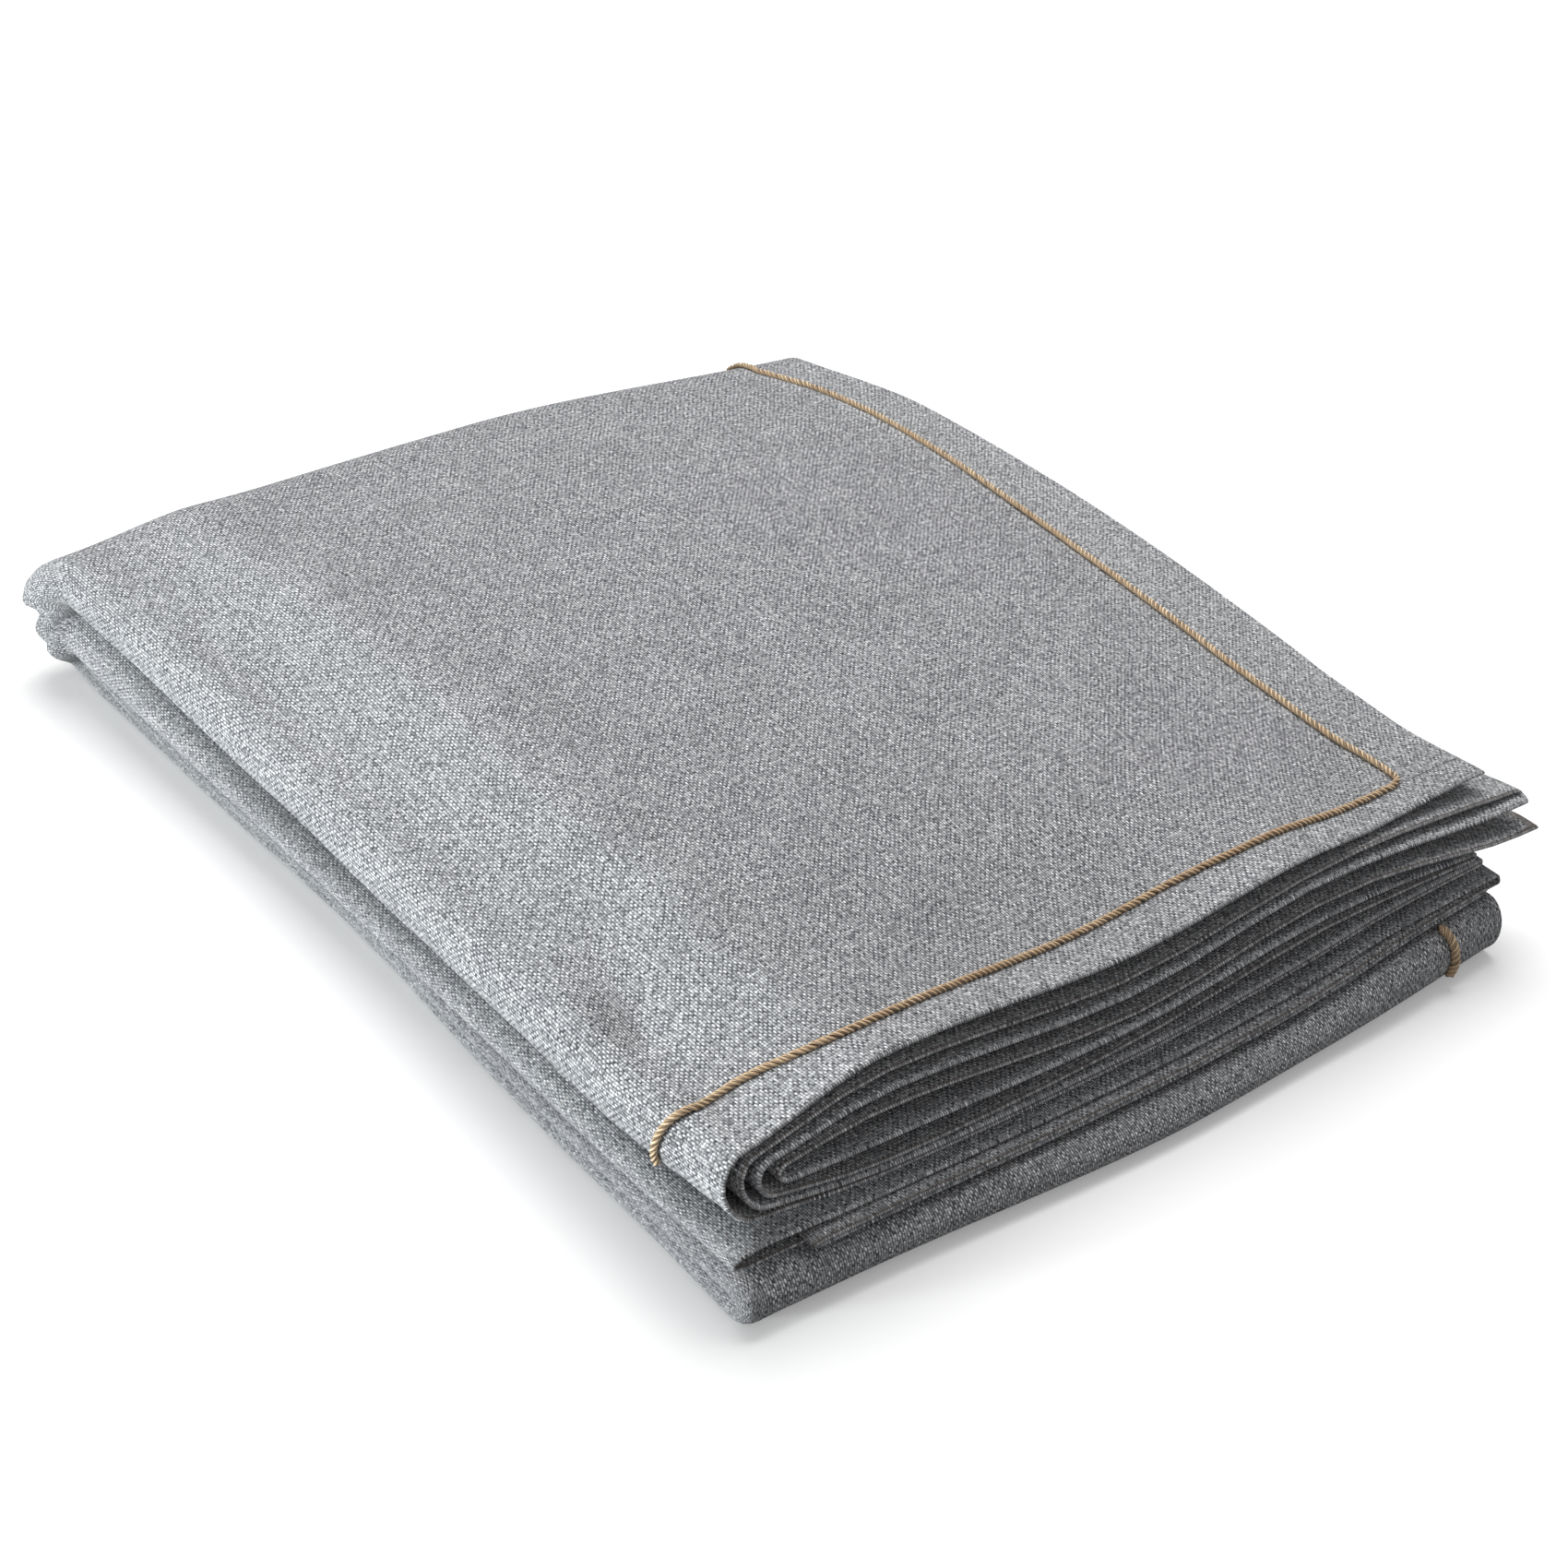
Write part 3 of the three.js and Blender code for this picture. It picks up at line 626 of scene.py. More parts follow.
def smooth_path(points, normals, step):
    """The same path in even steps, with its unit normals."""
    s = lengths_along(points)
    places = np.arange(0, s[-1], step)
    slopes = np.gradient(points, s, axis=0)
    i = np.clip(np.searchsorted(s, places, side="right") - 1, 0, len(s) - 2)
    width = (s[i + 1] - s[i])[:, None]
    t = ((places - s[i])[:, None]) / width
    a, b, ma, mb = points[i], points[i + 1], slopes[i] * width, slopes[i + 1] * width
    path = (2 * t**3 - 3 * t**2 + 1) * a + (t**3 - 2 * t**2 + t) * ma + (3 * t**2 - 2 * t**3) * b
    path += (t**3 - t**2) * mb
    return path, unit(mix(normals[i], normals[i + 1], t))


def twisted_cord_mesh(name, path, normals, sizes, fullness):
    """Plies wound round each other along the path, each a closed tube."""
    sides = unit(np.cross(unit(np.gradient(path, axis=0)), normals))
    s = lengths_along(path)
    radius, offset, lay = (1000 * value for value in (sizes.ply_radius, sizes.ply_offset, sizes.lay))
    radius, offset = radius * fullness, offset * fullness
    corners = sizes.ply_sides
    angles = 2 * np.pi * np.arange(corners) / corners
    k = np.arange(corners)
    after = (k + 1) % corners
    points, faces, uv = [], [], []
    for ply in range(sizes.plies):
        wobble = 0.25 * np.sin(s / 9.7 + 2 * ply) + 0.2 * np.sin(s / 23.0 + ply)
        turn = 2 * np.pi * (s / lay + ply / sizes.plies) + wobble
        out = np.cos(turn)[:, None] * normals * CORD_FLATTENED + np.sin(turn)[:, None] * sides
        centre = path + out * offset
        along = unit(np.gradient(centre, axis=0))
        first_axis = unit(out - along * np.sum(out * along, axis=1, keepdims=True))
        second_axis = np.cross(along, first_axis)
        swell = radius * (1 + 0.07 * np.sin(s / 3.1 + ply * 1.7) + 0.05 * np.sin(s / 1.3 + ply))
        ring = np.cos(angles)[:, None] * first_axis[:, None] + np.sin(angles)[:, None] * second_axis[:, None]
        start = ply * (len(s) * corners + 2)
        last, cap = start + (len(s) - 1) * corners, start + len(s) * corners
        points += [(centre[:, None] + swell[:, None, None] * ring).reshape(-1, 3), centre[[0, -1]]]
        uv += [np.stack([np.repeat(s, corners), np.tile(angles * radius, len(s))], -1), [(0, 0), (s[-1], 0)]]
        base = start + np.arange(len(s) - 1)[:, None] * corners
        quads = np.stack([base + k, base + after, base + corners + after, base + corners + k], -1)
        faces += quads.reshape(-1, 4).tolist()
        faces += [[start + n, start + m, cap] for m, n in zip(k.tolist(), after.tolist())]
        faces += [[last + m, last + n, cap + 1] for m, n in zip(k.tolist(), after.tolist())]
    points, uv = np.concatenate(points), np.concatenate(uv) * MM
    points[:, 2] = np.maximum(points[:, 2], CORD_ABOVE_FLOOR)
    russet = ease(RUSSET_ALONG, points[:, 1]) * ease(RUSSET_ACROSS, points[:, 0])
    return smooth_mesh(name, points, faces, uv, {"russet": russet})


def point_and_normal(place_at, across_step, along_step):
    """Points of the cloth's middle surface and its normals, from small steps both ways."""
    side = place_at(across_step, 0) - place_at(-across_step, 0)
    along = place_at(0, along_step) - place_at(0, -along_step)
    return place_at(0, 0), unit(np.cross(side, along))


def on_top_layer(points):
    """Middle surface and normals of the top layer at places seen from above."""
    x, y = np.array(points, dtype=float).T
    place = np.zeros(len(x), dtype=int)

    def place_at(dx, dy):
        return np.stack([x + dx, y + dy, top_bundle_height(place, x + dx, y + dy)], -1)

    return point_and_normal(place_at, 0.8, 0.8)


def on_fold(bundles, reach_name, across, angles):
    """Middle surface and outward normals of the outermost layer where the bundles turn."""
    place = np.zeros(len(angles), dtype=int)

    def place_at(dx, da):
        lines = cloth_lines(place, place, across + dx, 0.0)
        return fold_points(*bundles, lines, reach_name, angles + da)

    return point_and_normal(place_at, 0.004, 0.02)


def on_left_fold(along, angles):
    """Middle surface and outward normals of the outermost layer round the top bundle's left fold."""
    first = np.zeros(len(angles), dtype=int)

    def place_at(da, dt):
        return run_points(BUNDLES.top, cloth_lines(first, first + LAST_PLACE, 0.0, angles + da), along + dt)

    points, normals = point_and_normal(place_at, 0.03, 0.002)
    return points, -normals


def fine_run(points, count):
    """A smooth run of places through the given ones."""
    points = np.array(points, dtype=float)
    s = lengths_along(points)
    where = even(count, 0, s[-1])
    return np.stack([curve_through(s, points[:, k], where) for k in (0, 1)], -1)


def top_cord_path(lift):
    """Up the back of the far fold, along the right hem, round the corner, the near hem and the left fold."""
    b = BUNDLES
    x_end, y_end = (np.array([value]) for value in CORD_RIGHT_RUN[0])
    place = np.array([0])
    left, right = left_of(b.top, place, y_end), right_of(b.top, place, y_end)
    angles = np.pi * even(16, 0.86, 0.06)
    parts = [
        on_fold((b.top, b.lowest), "far_outer", (x_end - left) / (right - left) + 0 * angles, angles),
        on_top_layer(fine_run(CORD_RIGHT_RUN, 90)),
        on_top_layer(CORD_CORNER),
        on_top_layer(fine_run(CORD_NEAR_RUN, 80)),
        on_left_fold(even(16, *CORD_LEFT_ALONG), even(16, 0.03, CORD_LEFT_END)),
    ]
    points, normals = (np.concatenate(column) for column in zip(*parts))
    return points + normals * lift, normals


def band_cord_path(lift):
    """Round the near fold, from under the second bundle to just above the floor."""
    angles = np.pi * even(18, 0.97, 0.33)
    across = CORD_BAND_ACROSS + 0.006 * np.sin(angles)
    points, normals = on_fold((BUNDLES.lowest, BUNDLES.third), "near", across, angles)
    return points + normals * lift, normals


# Materials

def feed(tree, node, inputs):
    """Give a node its inputs, as values or as links."""
    for key, value in inputs.items():
        if isinstance(value, bpy.types.NodeSocket):
            tree.links.new(value, node.inputs[key])
        else:
            node.inputs[key].default_value = value


def put(tree, kind, inputs=None, **settings):
    """A new node with its settings and inputs."""
    node = tree.nodes.new(kind)
    for name, value in settings.items():
        setattr(node, name, value)
    feed(tree, node, inputs or {})
    return node


def maths(tree, operation, *values):
    return put(tree, "ShaderNodeMath", dict(enumerate(values)), operation=operation).outputs[0]


def plus(tree, a, b):
    return maths(tree, "ADD", a, b)


def minus(tree, a, b):
    return maths(tree, "SUBTRACT", a, b)


def times(tree, a, b):
    return maths(tree, "MULTIPLY", a, b)


def joined(tree, x, y, z):
    return put(tree, "ShaderNodeCombineXYZ", {"X": x, "Y": y, "Z": z}).outputs[0]


def noise(tree, vector, scale, detail=2.0, roughness=0.5):
    inputs = {"Vector": vector, "Scale": scale, "Detail": detail, "Roughness": roughness}
    return put(tree, "ShaderNodeTexNoise", inputs, noise_dimensions="3D").outputs["Fac"]


def blend_colour(tree, factor, a, b, blend_type="MIX"):
    inputs = {0: factor, 6: a, 7: b}
    return put(tree, "ShaderNodeMix", inputs, data_type="RGBA", blend_type=blend_type).outputs[2]


def map_range(tree, value, given, result=(0.0, 1.0), smooth=False):
    names = ("Value", "From Min", "From Max", "To Min", "To Max")
    inputs = dict(zip(names, (value, *given, *result)))
    interpolation = "SMOOTHSTEP" if smooth else "LINEAR"
    return put(tree, "ShaderNodeMapRange", inputs, interpolation_type=interpolation).outputs["Result"]


def mesh_value(tree, name):
    return put(tree, "ShaderNodeAttribute", attribute_name=name).outputs["Fac"]


def thread_places(tree):
    """Places along and across the threads, as a vector and as its two parts."""
    uv = put(tree, "ShaderNodeUVMap", uv_map="threads").outputs["UV"]
    parts = put(tree, "ShaderNodeSeparateXYZ", {"Vector": uv}).outputs
    return uv, parts["X"], parts["Y"]


def yarn_tone_group():
    """How spun yarn varies along its length: slow and quick changes of tone, and stray pale fibres."""
    name = "Spun yarn tone"
    if name in bpy.data.node_groups:
        return bpy.data.node_groups[name]
    tree = bpy.data.node_groups.new(name, "ShaderNodeTree")
    for label in ("Vector", "Slow", "Quick"):
        kind = "NodeSocketVector" if label == "Vector" else "NodeSocketFloat"
        tree.interface.new_socket(name=label, in_out="INPUT", socket_type=kind)
    for label in ("Tone", "Fibres"):
        tree.interface.new_socket(name=label, in_out="OUTPUT", socket_type="NodeSocketFloat")
    given = tree.nodes.new("NodeGroupInput").outputs
    place, slow, quick = given["Vector"], given["Slow"], given["Quick"]
    tone = plus(tree, times(tree, noise(tree, place, slow, 1.0), 0.45),
                times(tree, noise(tree, place, quick, 3.0, 0.62), 0.55))
    fibres = noise(tree, place, times(tree, quick, 3.0), 2.0, 0.7)
    feed(tree, tree.nodes.new("NodeGroupOutput"), {
        "Tone": map_range(tree, tone, (0.36, 0.64)), "Fibres": map_range(tree, fibres, (0.56, 0.72))})
    return tree


def spun_yarn(tree, place, slow, quick):
    """Tone and stray fibres of spun yarn at a place along it."""
    inputs = {"Vector": place, "Slow": slow, "Quick": quick}
    outputs = put(tree, "ShaderNodeGroup", inputs, node_tree=yarn_tone_group()).outputs
    return outputs["Tone"], outputs["Fibres"]


def crown(tree, value):
    """The round top of a thread: 0 at its sides and 1 at its middle."""
    centred = minus(tree, times(tree, maths(tree, "FRACT", value), 2.0), 1.0)
    return minus(tree, 1.0, maths(tree, "POWER", maths(tree, "ABSOLUTE", centred), 2.0))


def weave_nodes(tree, uv, x, y, sizes):
    """Plain weave with its warp in pairs: heights, tones by crossing, and places along the thread on top."""
    drift = times(tree, minus(tree, noise(tree, uv, 55.0), 0.5), THREAD_DRIFT)
    across = plus(tree, maths(tree, "DIVIDE", x, sizes.thread_pitch), drift)
    along = maths(tree, "DIVIDE", y, sizes.thread_pitch * sizes.weft_ratio)
    along = plus(tree, along, times(tree, drift, 0.8))
    waves = [maths(tree, "SINE", times(tree, value, math.pi)) for value in (across, along)]
    wave = times(tree, times(tree, *waves), 1 - THREAD_LEVEL)
    warp = times(tree, crown(tree, across), plus(tree, THREAD_LEVEL, wave))
    weft = times(tree, crown(tree, along), minus(tree, THREAD_LEVEL, wave))
    warp_over = maths(tree, "GREATER_THAN", warp, weft)
    warp_number, weft_number = (maths(tree, "FLOOR", value) for value in (across, along))
    crossing = {"Vector": joined(tree, warp_number, weft_number, warp_over)}
    warp_place = joined(tree, times(tree, warp_number, 0.71), times(tree, along, 0.11), 3.0)
    weft_place = joined(tree, times(tree, across, 0.11), times(tree, weft_number, 0.71), 9.0)
    place = {0: warp_over, 4: weft_place, 5: warp_place}
    return SimpleNamespace(
        height=maths(tree, "MAXIMUM", warp, weft), warp_over=warp_over,
        crossing=put(tree, "ShaderNodeTexWhiteNoise", crossing, noise_dimensions="3D").outputs["Value"],
        place=put(tree, "ShaderNodeMix", place, data_type="VECTOR").outputs[1],
        between_pairs=map_range(tree, maths(tree, "PINGPONG", across, 1.0), (0.0, 0.45), (1, 0), True))


def colour(values):
    return (*values, 1.0)


def new_material(name):
    material = bpy.data.materials.new(name)
    material.use_nodes = True
    return material, material.node_tree, material.node_tree.nodes["Principled BSDF"]


def woven_cloth_material(sizes, colours):
    """Plain weave of mottled grey yarn, with the hem's corner seam, painted shade between the threads and a painted
    shadow under the hems' edges.
    """
    material, tree, shader = new_material("woven grey cloth")
    uv, x, y = thread_places(tree)
    weave = weave_nodes(tree, uv, x, y, sizes)
    yarn, fibres = spun_yarn(tree, weave.place, 0.9, 3.4)
    tone = plus(tree, times(tree, yarn, YARN_SHARE), times(tree, weave.crossing, 1 - YARN_SHARE))
    tone = plus(tree, tone, maths(tree, "MULTIPLY_ADD", weave.warp_over, *WARP_LIGHTER))
    base = blend_colour(tree, tone, colour(colours.dark_yarn), colour(colours.light_yarn))
    base = blend_colour(tree, times(tree, fibres, 0.35), base, colour(colours.pale_fibre))
    # Painted shade between the threads: a dark colour mixed in where the weave is low and in the gaps between warp
    # pairs.
    low = map_range(tree, weave.height, (0.15, 0.75), (1, 0), True)
    gap = maths(tree, "MAXIMUM", times(tree, low, LOW_SHADE), times(tree, weave.between_pairs, PAIR_SHADE))
    shade = map_range(tree, mesh_value(tree, "hem"), (0, 1), (sizes.gap_shade, sizes.hem_gap_shade))
    gap = times(tree, gap, shade)
    base = blend_colour(tree, gap, base, colour(colours.thread_gap_shade))
    mottle = map_range(tree, noise(tree, uv, 38.0, 3.0, 0.6), (0.3, 0.7), MOTTLE)
    grain = map_range(tree, noise(tree, uv, 800.0, 1.0, 0.6), (0.28, 0.72), GRAIN)
    shaded = put(tree, "ShaderNodeVectorMath", {0: base, "Scale": times(tree, mottle, grain)}, operation="SCALE")
    # Painted shadow: dark brown painted on the lower face under each layer's edge, where shade falls.
    edge = map_range(tree, mesh_value(tree, "under_edge"), (0.45, 1.0), (0.0, 0.85))
    base = blend_colour(tree, edge, shaded.outputs[0], colour(colours.under_edge))
    # The hem's corner seam is a groove in the relief, with painted shade along it in the same dark brown.
    seam_at = plus(tree, sizes.seam_start, times(tree, x, sizes.seam_slope))
    off_seam = maths(tree, "ABSOLUTE", minus(tree, y, seam_at))
    seam = map_range(tree, off_seam, (0.0002, 0.0007), (1, 0), True)
    seam = times(tree, seam, maths(tree, "LESS_THAN", x, sizes.end_hem - 0.002))
    seam = times(tree, seam, mesh_value(tree, "top_layer"))
    relief = minus(tree, weave.height, times(tree, seam, 1.5))
    relief = plus(tree, relief, times(tree, fibres, 0.25))
    bump = put(tree, "ShaderNodeBump", {"Strength": 0.85, "Distance": sizes.weave_depth, "Height": relief})
    feed(tree, shader, {
        "Base Color": blend_colour(tree, times(tree, seam, SEAM_SHADE), base, colour(colours.under_edge)),
        "Roughness": map_range(tree, tone, (0, 1), (0.95, 0.82)), "Normal": bump.outputs["Normal"],
        "Sheen Weight": 0.12, "Sheen Roughness": 0.5, "Specular IOR Level": 0.25})
    return material


def twisted_cord_material(name, colours, seed, radius):
    """Spun fibre cord: fine fibres along each ply, with painted shade between the plies."""
    material, tree, shader = new_material(name)
    uv, x, y = thread_places(tree)
    place = joined(tree, times(tree, x, 260.0), times(tree, y, 2600.0), seed)
    tone, fibres = spun_yarn(tree, place, 0.35, 1.6)
    base = blend_colour(tree, tone, colour(colours.cord_dark), colour(colours.cord_light))
    base = blend_colour(tree, times(tree, fibres, 0.3), base, colour(STRAW))
    # Painted shade: dark brown on each ply's inner side, in the grooves between the plies.
    outward = maths(tree, "COSINE", maths(tree, "DIVIDE", y, radius))
    groove = map_range(tree, outward, (-0.2, 0.8), (0.8, 0.0), True)
    base = blend_colour(tree, groove, base, colour(PAINTED_GROOVE_SHADE))
    russet = times(tree, mesh_value(tree, "russet"), 0.2)
    bump = put(tree, "ShaderNodeBump", {"Strength": 0.6, "Distance": 0.00012, "Height": tone})
    feed(tree, shader, {
        "Base Color": blend_colour(tree, russet, base, colour(RUSSET), "MULTIPLY"),
        "Roughness": map_range(tree, tone, (0, 1), (0.85, 0.6)), "Normal": bump.outputs["Normal"],
        "Sheen Weight": 0.15, "Specular IOR Level": 0.35})
    return material


def floor_material(colours):
    """A pale floor that looks brighter than the light that it throws back."""
    material, tree, shader = new_material("pale floor")
    place = put(tree, "ShaderNodeTexCoord").outputs["Object"]
    tone = map_range(tree, noise(tree, place, 3.0), (0.3, 0.7), (0.985, 1.0))
    base = blend_colour(tree, 1.0, colour(colours.floor), tone, "MULTIPLY")
    seen = put(tree, "ShaderNodeLightPath").outputs["Is Camera Ray"]
    feed(tree, shader, {
        "Base Color": blend_colour(tree, seen, colour(colours.floor_glow), base),
        "Emission Color": blend_colour(tree, seen, colour(BLACK), colour(WHITE)),
        "Emission Strength": 0.22, "Roughness": 0.9, "Specular IOR Level": 0.1})
    return material


class ClothSizes(bpy.types.PropertyGroup):
    """Sizes of the cloth, its hems and its weave."""
    half_thickness: bpy.props.FloatProperty(
        name="Half thickness", description="Half the thickness of the plain cloth",
        default=0.00042, unit="LENGTH", precision=5)
    hem_half: bpy.props.FloatProperty(
        name="Hem half thickness", description="Half the thickness of the hems in the top bundle",
        default=0.00072, unit="LENGTH", precision=5)
    low_hem_half: bpy.props.FloatProperty(
        name="Pressed hem half thickness",
        description="Half the thickness of the hems pressed under the top bundle",
        default=0.0006, unit="LENGTH", precision=5)
    near_hem: bpy.props.FloatProperty(
        name="Long hem", description="Width of the hem at the near edges", default=0.0135, unit="LENGTH")
    end_hem: bpy.props.FloatProperty(
        name="End hem", description="Width of the hem at the right end", default=0.024, unit="LENGTH")
    thread_pitch: bpy.props.FloatProperty(
        name="Thread pitch", description="Distance between warp threads",
        default=0.00082, unit="LENGTH", precision=5)
    weft_ratio: bpy.props.FloatProperty(
        name="Weft ratio", default=1.2,
        description="Distance between weft threads over that between warp threads")
    weave_depth: bpy.props.FloatProperty(
        name="Weave depth", description="How deep the weave's relief is",
        default=0.0004, unit="LENGTH", precision=5)
    gap_shade: bpy.props.FloatProperty(
        name="Gap shade", description="Depth of the shade between threads",
        default=1.0, min=0, max=1, subtype="FACTOR")
    hem_gap_shade: bpy.props.FloatProperty(
        name="Hem gap shade", description="Depth of the shade between threads on the pressed hems",
        default=0.78, min=0, max=1, subtype="FACTOR")
    seam_start: bpy.props.FloatProperty(
        name="Corner seam start", description="Where the hem's corner seam starts, from the near edge",
        default=0.0094, unit="LENGTH")
    seam_slope: bpy.props.FloatProperty(
        name="Corner seam slope", description="How the hem's corner seam runs inwards", default=0.03)


class ClothColours(bpy.types.PropertyGroup):
    """Colours of the cloth, the cords and the floor."""
    light_yarn: bpy.props.FloatVectorProperty(
        name="Light yarn", description="Colour of the yarn's light parts",
        subtype="COLOR", default=(0.89, 0.895, 0.91))
    dark_yarn: bpy.props.FloatVectorProperty(
        name="Dark yarn", description="Colour of the yarn's dark parts",
        subtype="COLOR", default=(0.12, 0.124, 0.135))
    pale_fibre: bpy.props.FloatVectorProperty(
        name="Pale fibre", description="Colour of stray fibres", subtype="COLOR", default=(0.95, 0.96, 0.97))
    # Painted shade: the dark colour painted between the threads.
    thread_gap_shade: bpy.props.FloatVectorProperty(
        name="Between threads", description="Colour between the threads",
        subtype="COLOR", default=(0.035, 0.04, 0.052))
    # Painted shadow: the dark brown painted under the hems' edges and along the corner seam.
    under_edge: bpy.props.FloatVectorProperty(
        name="Under the edge", description="Colour under the hems' edges",
        subtype="COLOR", default=(0.10, 0.075, 0.06))
    cord_light: bpy.props.FloatVectorProperty(
        name="Cord light", description="Colour of the cord's light fibres",
        subtype="COLOR", default=(0.97, 0.76, 0.50))
    cord_dark: bpy.props.FloatVectorProperty(
        name="Cord dark", description="Colour of the cord's dark fibres",
        subtype="COLOR", default=(0.60, 0.41, 0.245))
    floor_glow: bpy.props.FloatVectorProperty(
        name="Floor glow", description="Colour that the floor throws back on the cloth",
        subtype="COLOR", default=(0.35, 0.35, 0.35))
    floor: bpy.props.FloatVectorProperty(
        name="Floor", description="Colour of the floor", subtype="COLOR", default=(0.93, 0.93, 0.93))


class CordSizes(bpy.types.PropertyGroup):
    """Sizes of the twisted cord."""
    plies: bpy.props.IntProperty(name="Plies", description="Plies in the cord", default=3, min=2, max=4)
    ply_sides: bpy.props.IntProperty(
        name="Ply sides", description="Sides of each ply's tube", default=7, min=5, max=12)
    ply_radius: bpy.props.FloatProperty(
        name="Ply radius", description="Radius of one ply", default=0.00054, unit="LENGTH", precision=5)
    ply_offset: bpy.props.FloatProperty(
        name="Ply offset", description="Distance of each ply from the cord's middle",
        default=0.00058, unit="LENGTH", precision=5)
    lay: bpy.props.FloatProperty(
        name="Lay", description="Length of one full twist", default=0.0056, unit="LENGTH", precision=5)
    lift: bpy.props.FloatProperty(
        name="Lift", description="Height of the cord's middle over the cloth's middle surface",
        default=0.00145, unit="LENGTH", precision=5)
    step: bpy.props.FloatProperty(
        name="Step", description="Length between rings of the plies",
        default=0.0005, unit="LENGTH", precision=5)


class StageSettings(bpy.types.PropertyGroup):
    """Camera and lights."""
    camera_place: bpy.props.FloatVectorProperty(
        name="Camera", description="Place of the camera",
        subtype="TRANSLATION", default=(-0.46562, -0.58008, 0.522))
    pitch: bpy.props.FloatProperty(
        name="Pitch", description="How far the camera looks down", subtype="ANGLE", default=math.radians(34.66))
    yaw: bpy.props.FloatProperty(
        name="Yaw", description="How far the camera is turned to the right",
        subtype="ANGLE", default=math.radians(39.56))
    roll: bpy.props.FloatProperty(
        name="Roll", description="Tilt of the camera", subtype="ANGLE", default=math.radians(4.02))
    lens: bpy.props.FloatProperty(name="Lens", description="Focal length on a 36 mm sensor", default=63.74)
    side_energy: bpy.props.FloatProperty(name="Side light", description="Power of the side light", default=12.0)
    overhead_energy: bpy.props.FloatProperty(
        name="Overhead light", description="Power of the overhead light", default=23.0)
    sky_strength: bpy.props.FloatProperty(name="Sky", description="Strength of the even light", default=0.33)
    floor_size: bpy.props.FloatProperty(
        name="Floor size", description="Side of the floor", default=8.0, unit="LENGTH")


class TABLECLOTH_OT_cloth(bpy.types.Operator):
    """Make the folded cloth"""
    bl_idname = "tablecloth.cloth"
    bl_label = "Folded cloth"

    def execute(self, context):
        sizes, colours = context.scene.tablecloth_sizes, context.scene.tablecloth_colours
        mesh = sheet_mesh("folded_cloth", middle_surface(), sizes)
        piece = place_piece("folded_cloth", mesh, woven_cloth_material(sizes, colours), "cloth")
        return {"FINISHED"}


class TABLECLOTH_OT_cords(bpy.types.Operator):
    """Make the twisted cord where it shows on the top and on the near fold"""
    bl_idname = "tablecloth.cords"
    bl_label = "Twisted cords"

    def execute(self, context):
        sizes, colours = context.scene.tablecloth_cord, context.scene.tablecloth_colours
        runs = (("twisted_cord_top", "cord_top", top_cord_path, 1.0, 1.0),
                ("twisted_cord_band", "cord_band", band_cord_path, 5.0, 1.4))
        for name, node, path_of, seed, fullness in runs:
            path, normals = smooth_path(*path_of(1000 * sizes.lift), 1000 * sizes.step)
            mesh = twisted_cord_mesh(name, path, normals, sizes, fullness)
            material = twisted_cord_material(name.replace("_", " "), colours, seed, sizes.ply_radius)
            place_piece(name, mesh, material, node)
        return {"FINISHED"}


class TABLECLOTH_OT_stage(bpy.types.Operator):
    """Make the floor, the lights and the camera"""
    bl_idname = "tablecloth.stage"
    bl_label = "Stage"

    def execute(self, context):
        stage, colours = context.scene.tablecloth_stage, context.scene.tablecloth_colours
        half = stage.floor_size / 2
        mesh = bpy.data.meshes.new("floor")
        corners = [(-half, -half, 0), (half, -half, 0), (half, half, 0), (-half, half, 0)]
        mesh.from_pydata(corners, [], [(0, 1, 2, 3)])
        mesh.materials.append(floor_material(colours))
        floor = bpy.data.objects.new("floor", mesh)
        floor.location.z = FLOOR_LEVEL
        context.scene.collection.objects.link(floor)
        area_light(context, "side light", SIDE_LIGHT, stage.side_energy)
        area_light(context, "overhead light", OVERHEAD_LIGHT, stage.overhead_energy)
        world = bpy.data.worlds.new("even light")
        world.use_nodes = True
        even_light = {"Color": colour(WHITE), "Strength": stage.sky_strength}
        feed(world.node_tree, world.node_tree.nodes["Background"], even_light)
        context.scene.world = world
        context.scene.view_settings.view_transform = "Standard"
        place_camera(context, stage)
        return {"FINISHED"}


def area_light(context, name, lamp, energy):
    data = bpy.data.lights.new(name, "AREA")
    data.size, data.energy, data.color = lamp.size, energy, lamp.tint
    light = bpy.data.objects.new(name, data)
    light.location = lamp.place
    light.rotation_euler = (Vector(LIGHT_TARGET) - Vector(lamp.place)).to_track_quat("-Z", "Y").to_euler()
    context.scene.collection.objects.link(light)


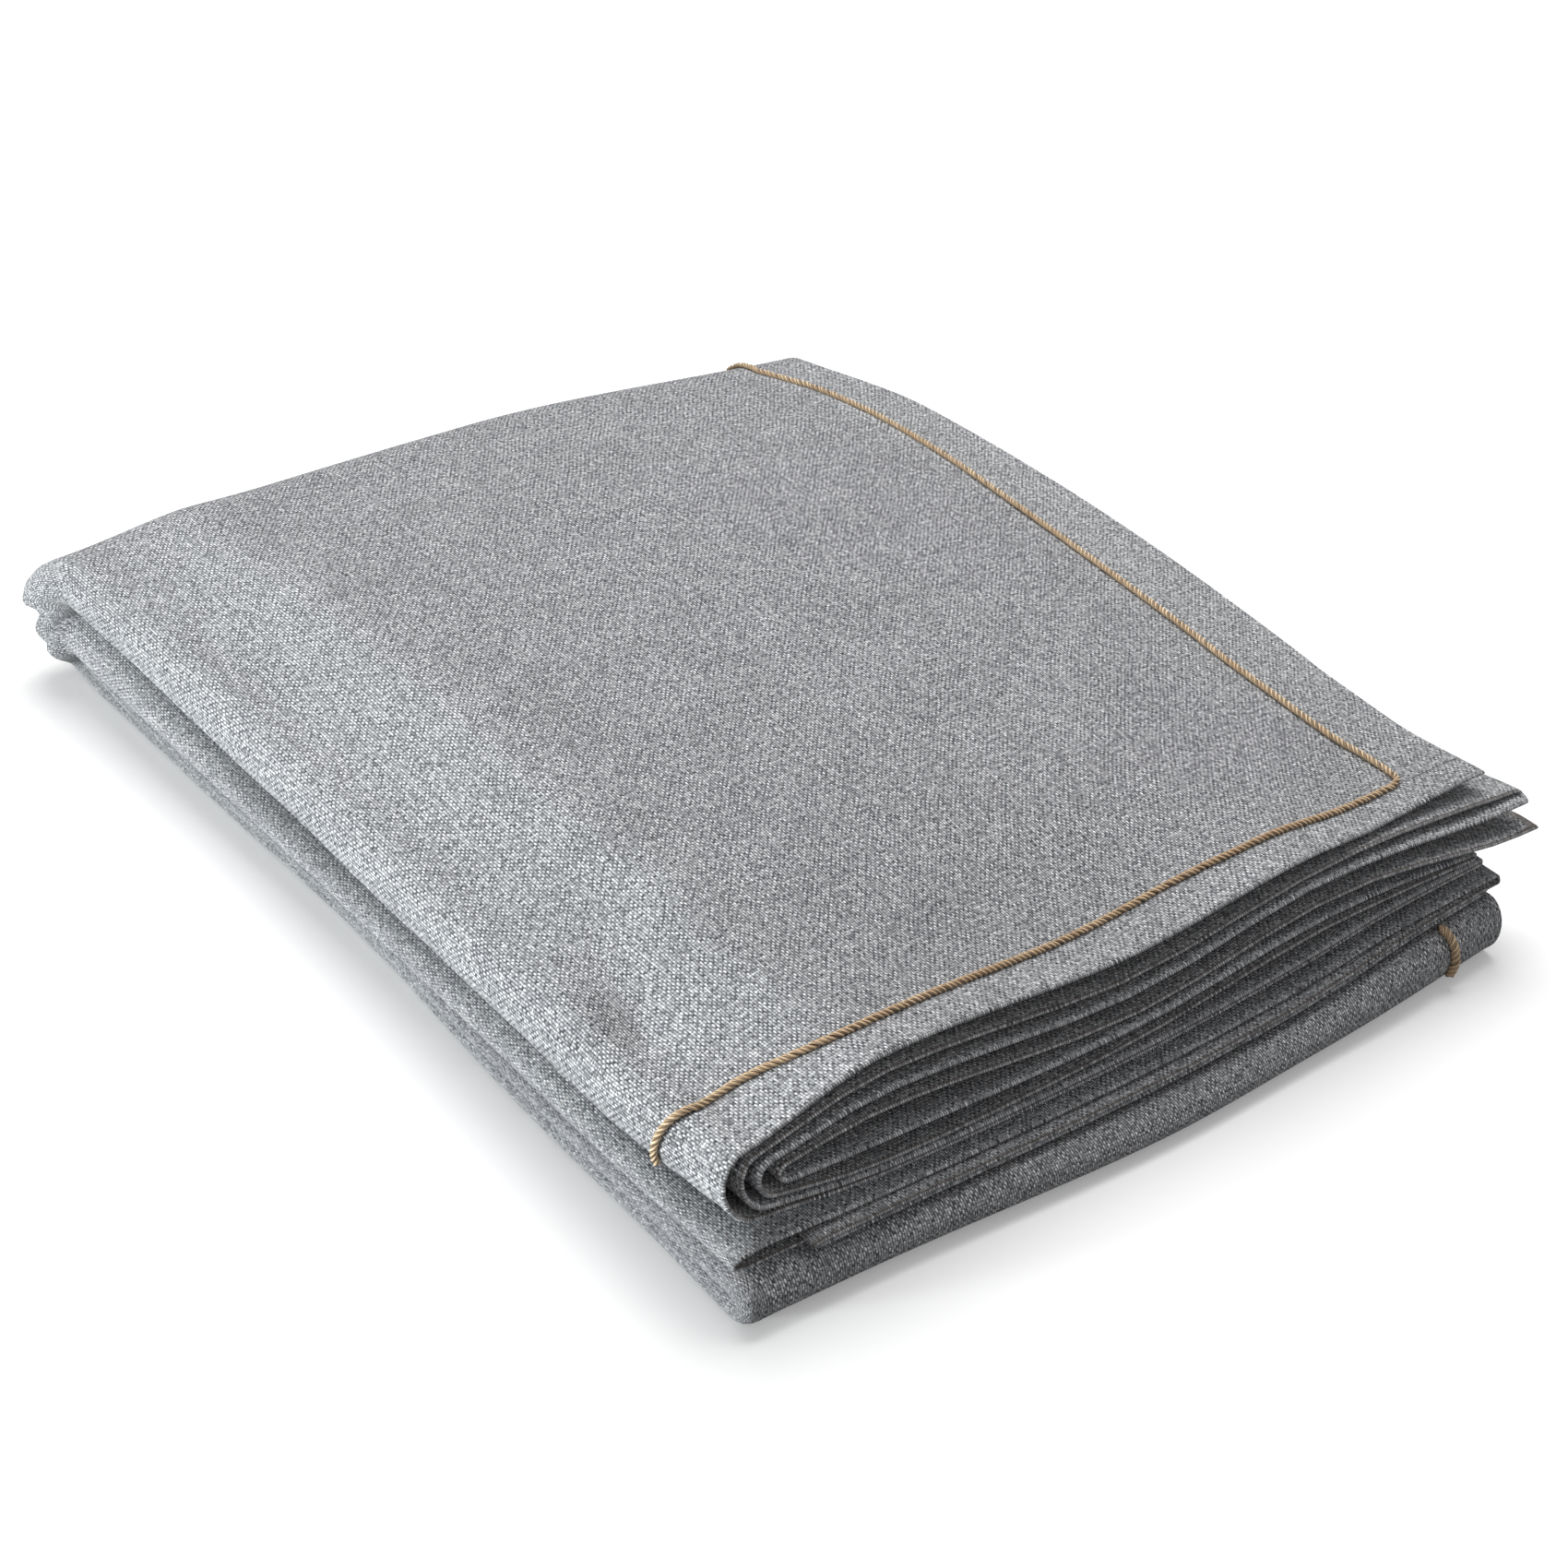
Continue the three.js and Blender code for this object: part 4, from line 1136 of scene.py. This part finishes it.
def place_camera(context, stage):
    sy, cy, sp, cp = math.sin(stage.yaw), math.cos(stage.yaw), math.sin(stage.pitch), math.cos(stage.pitch)
    look = Vector((sy * cp, cy * cp, -sp))
    level = Vector((cy, -sy, 0))
    above = level.cross(look)
    sr, cr = math.sin(stage.roll), math.cos(stage.roll)
    right, up = cr * level + sr * above, cr * above - sr * level
    data = bpy.data.cameras.new("camera")
    data.lens, data.sensor_width, data.clip_start = stage.lens, SENSOR_WIDTH, 0.01
    camera = bpy.data.objects.new("camera", data)
    turned = Matrix((right, up, -look)).transposed().to_4x4()
    turned.translation = Vector(stage.camera_place)
    camera.matrix_world = turned
    context.scene.collection.objects.link(camera)
    context.scene.camera = camera


class TABLECLOTH_PT_panel(bpy.types.Panel):
    """The steps that make the folded tablecloth"""
    bl_idname = "TABLECLOTH_PT_panel"
    bl_label = "Folded tablecloth"
    bl_space_type = "VIEW_3D"
    bl_region_type = "UI"
    bl_category = "Tablecloth"

    def draw(self, context):
        for operator in OPERATORS:
            self.layout.operator(operator.bl_idname)
        for label in SETTINGS:
            box = self.layout.box()
            group = getattr(context.scene, label)
            for name in group.__annotations__:
                box.prop(group, name)


SETTINGS = {
    "tablecloth_sizes": ClothSizes,
    "tablecloth_colours": ClothColours,
    "tablecloth_cord": CordSizes,
    "tablecloth_stage": StageSettings,
}
OPERATORS = (TABLECLOTH_OT_cloth, TABLECLOTH_OT_cords, TABLECLOTH_OT_stage)


def register():
    for cls in (*SETTINGS.values(), *OPERATORS, TABLECLOTH_PT_panel):
        bpy.utils.register_class(cls)
    for name, group in SETTINGS.items():
        setattr(bpy.types.Scene, name, bpy.props.PointerProperty(type=group))


def unregister():
    for name in SETTINGS:
        delattr(bpy.types.Scene, name)
    for cls in reversed((*SETTINGS.values(), *OPERATORS, TABLECLOTH_PT_panel)):
        bpy.utils.unregister_class(cls)


def main():
    register()
    bpy.ops.tablecloth.cloth()
    bpy.ops.tablecloth.cords()
    bpy.ops.tablecloth.stage()


if __name__ == "__main__":
    main()
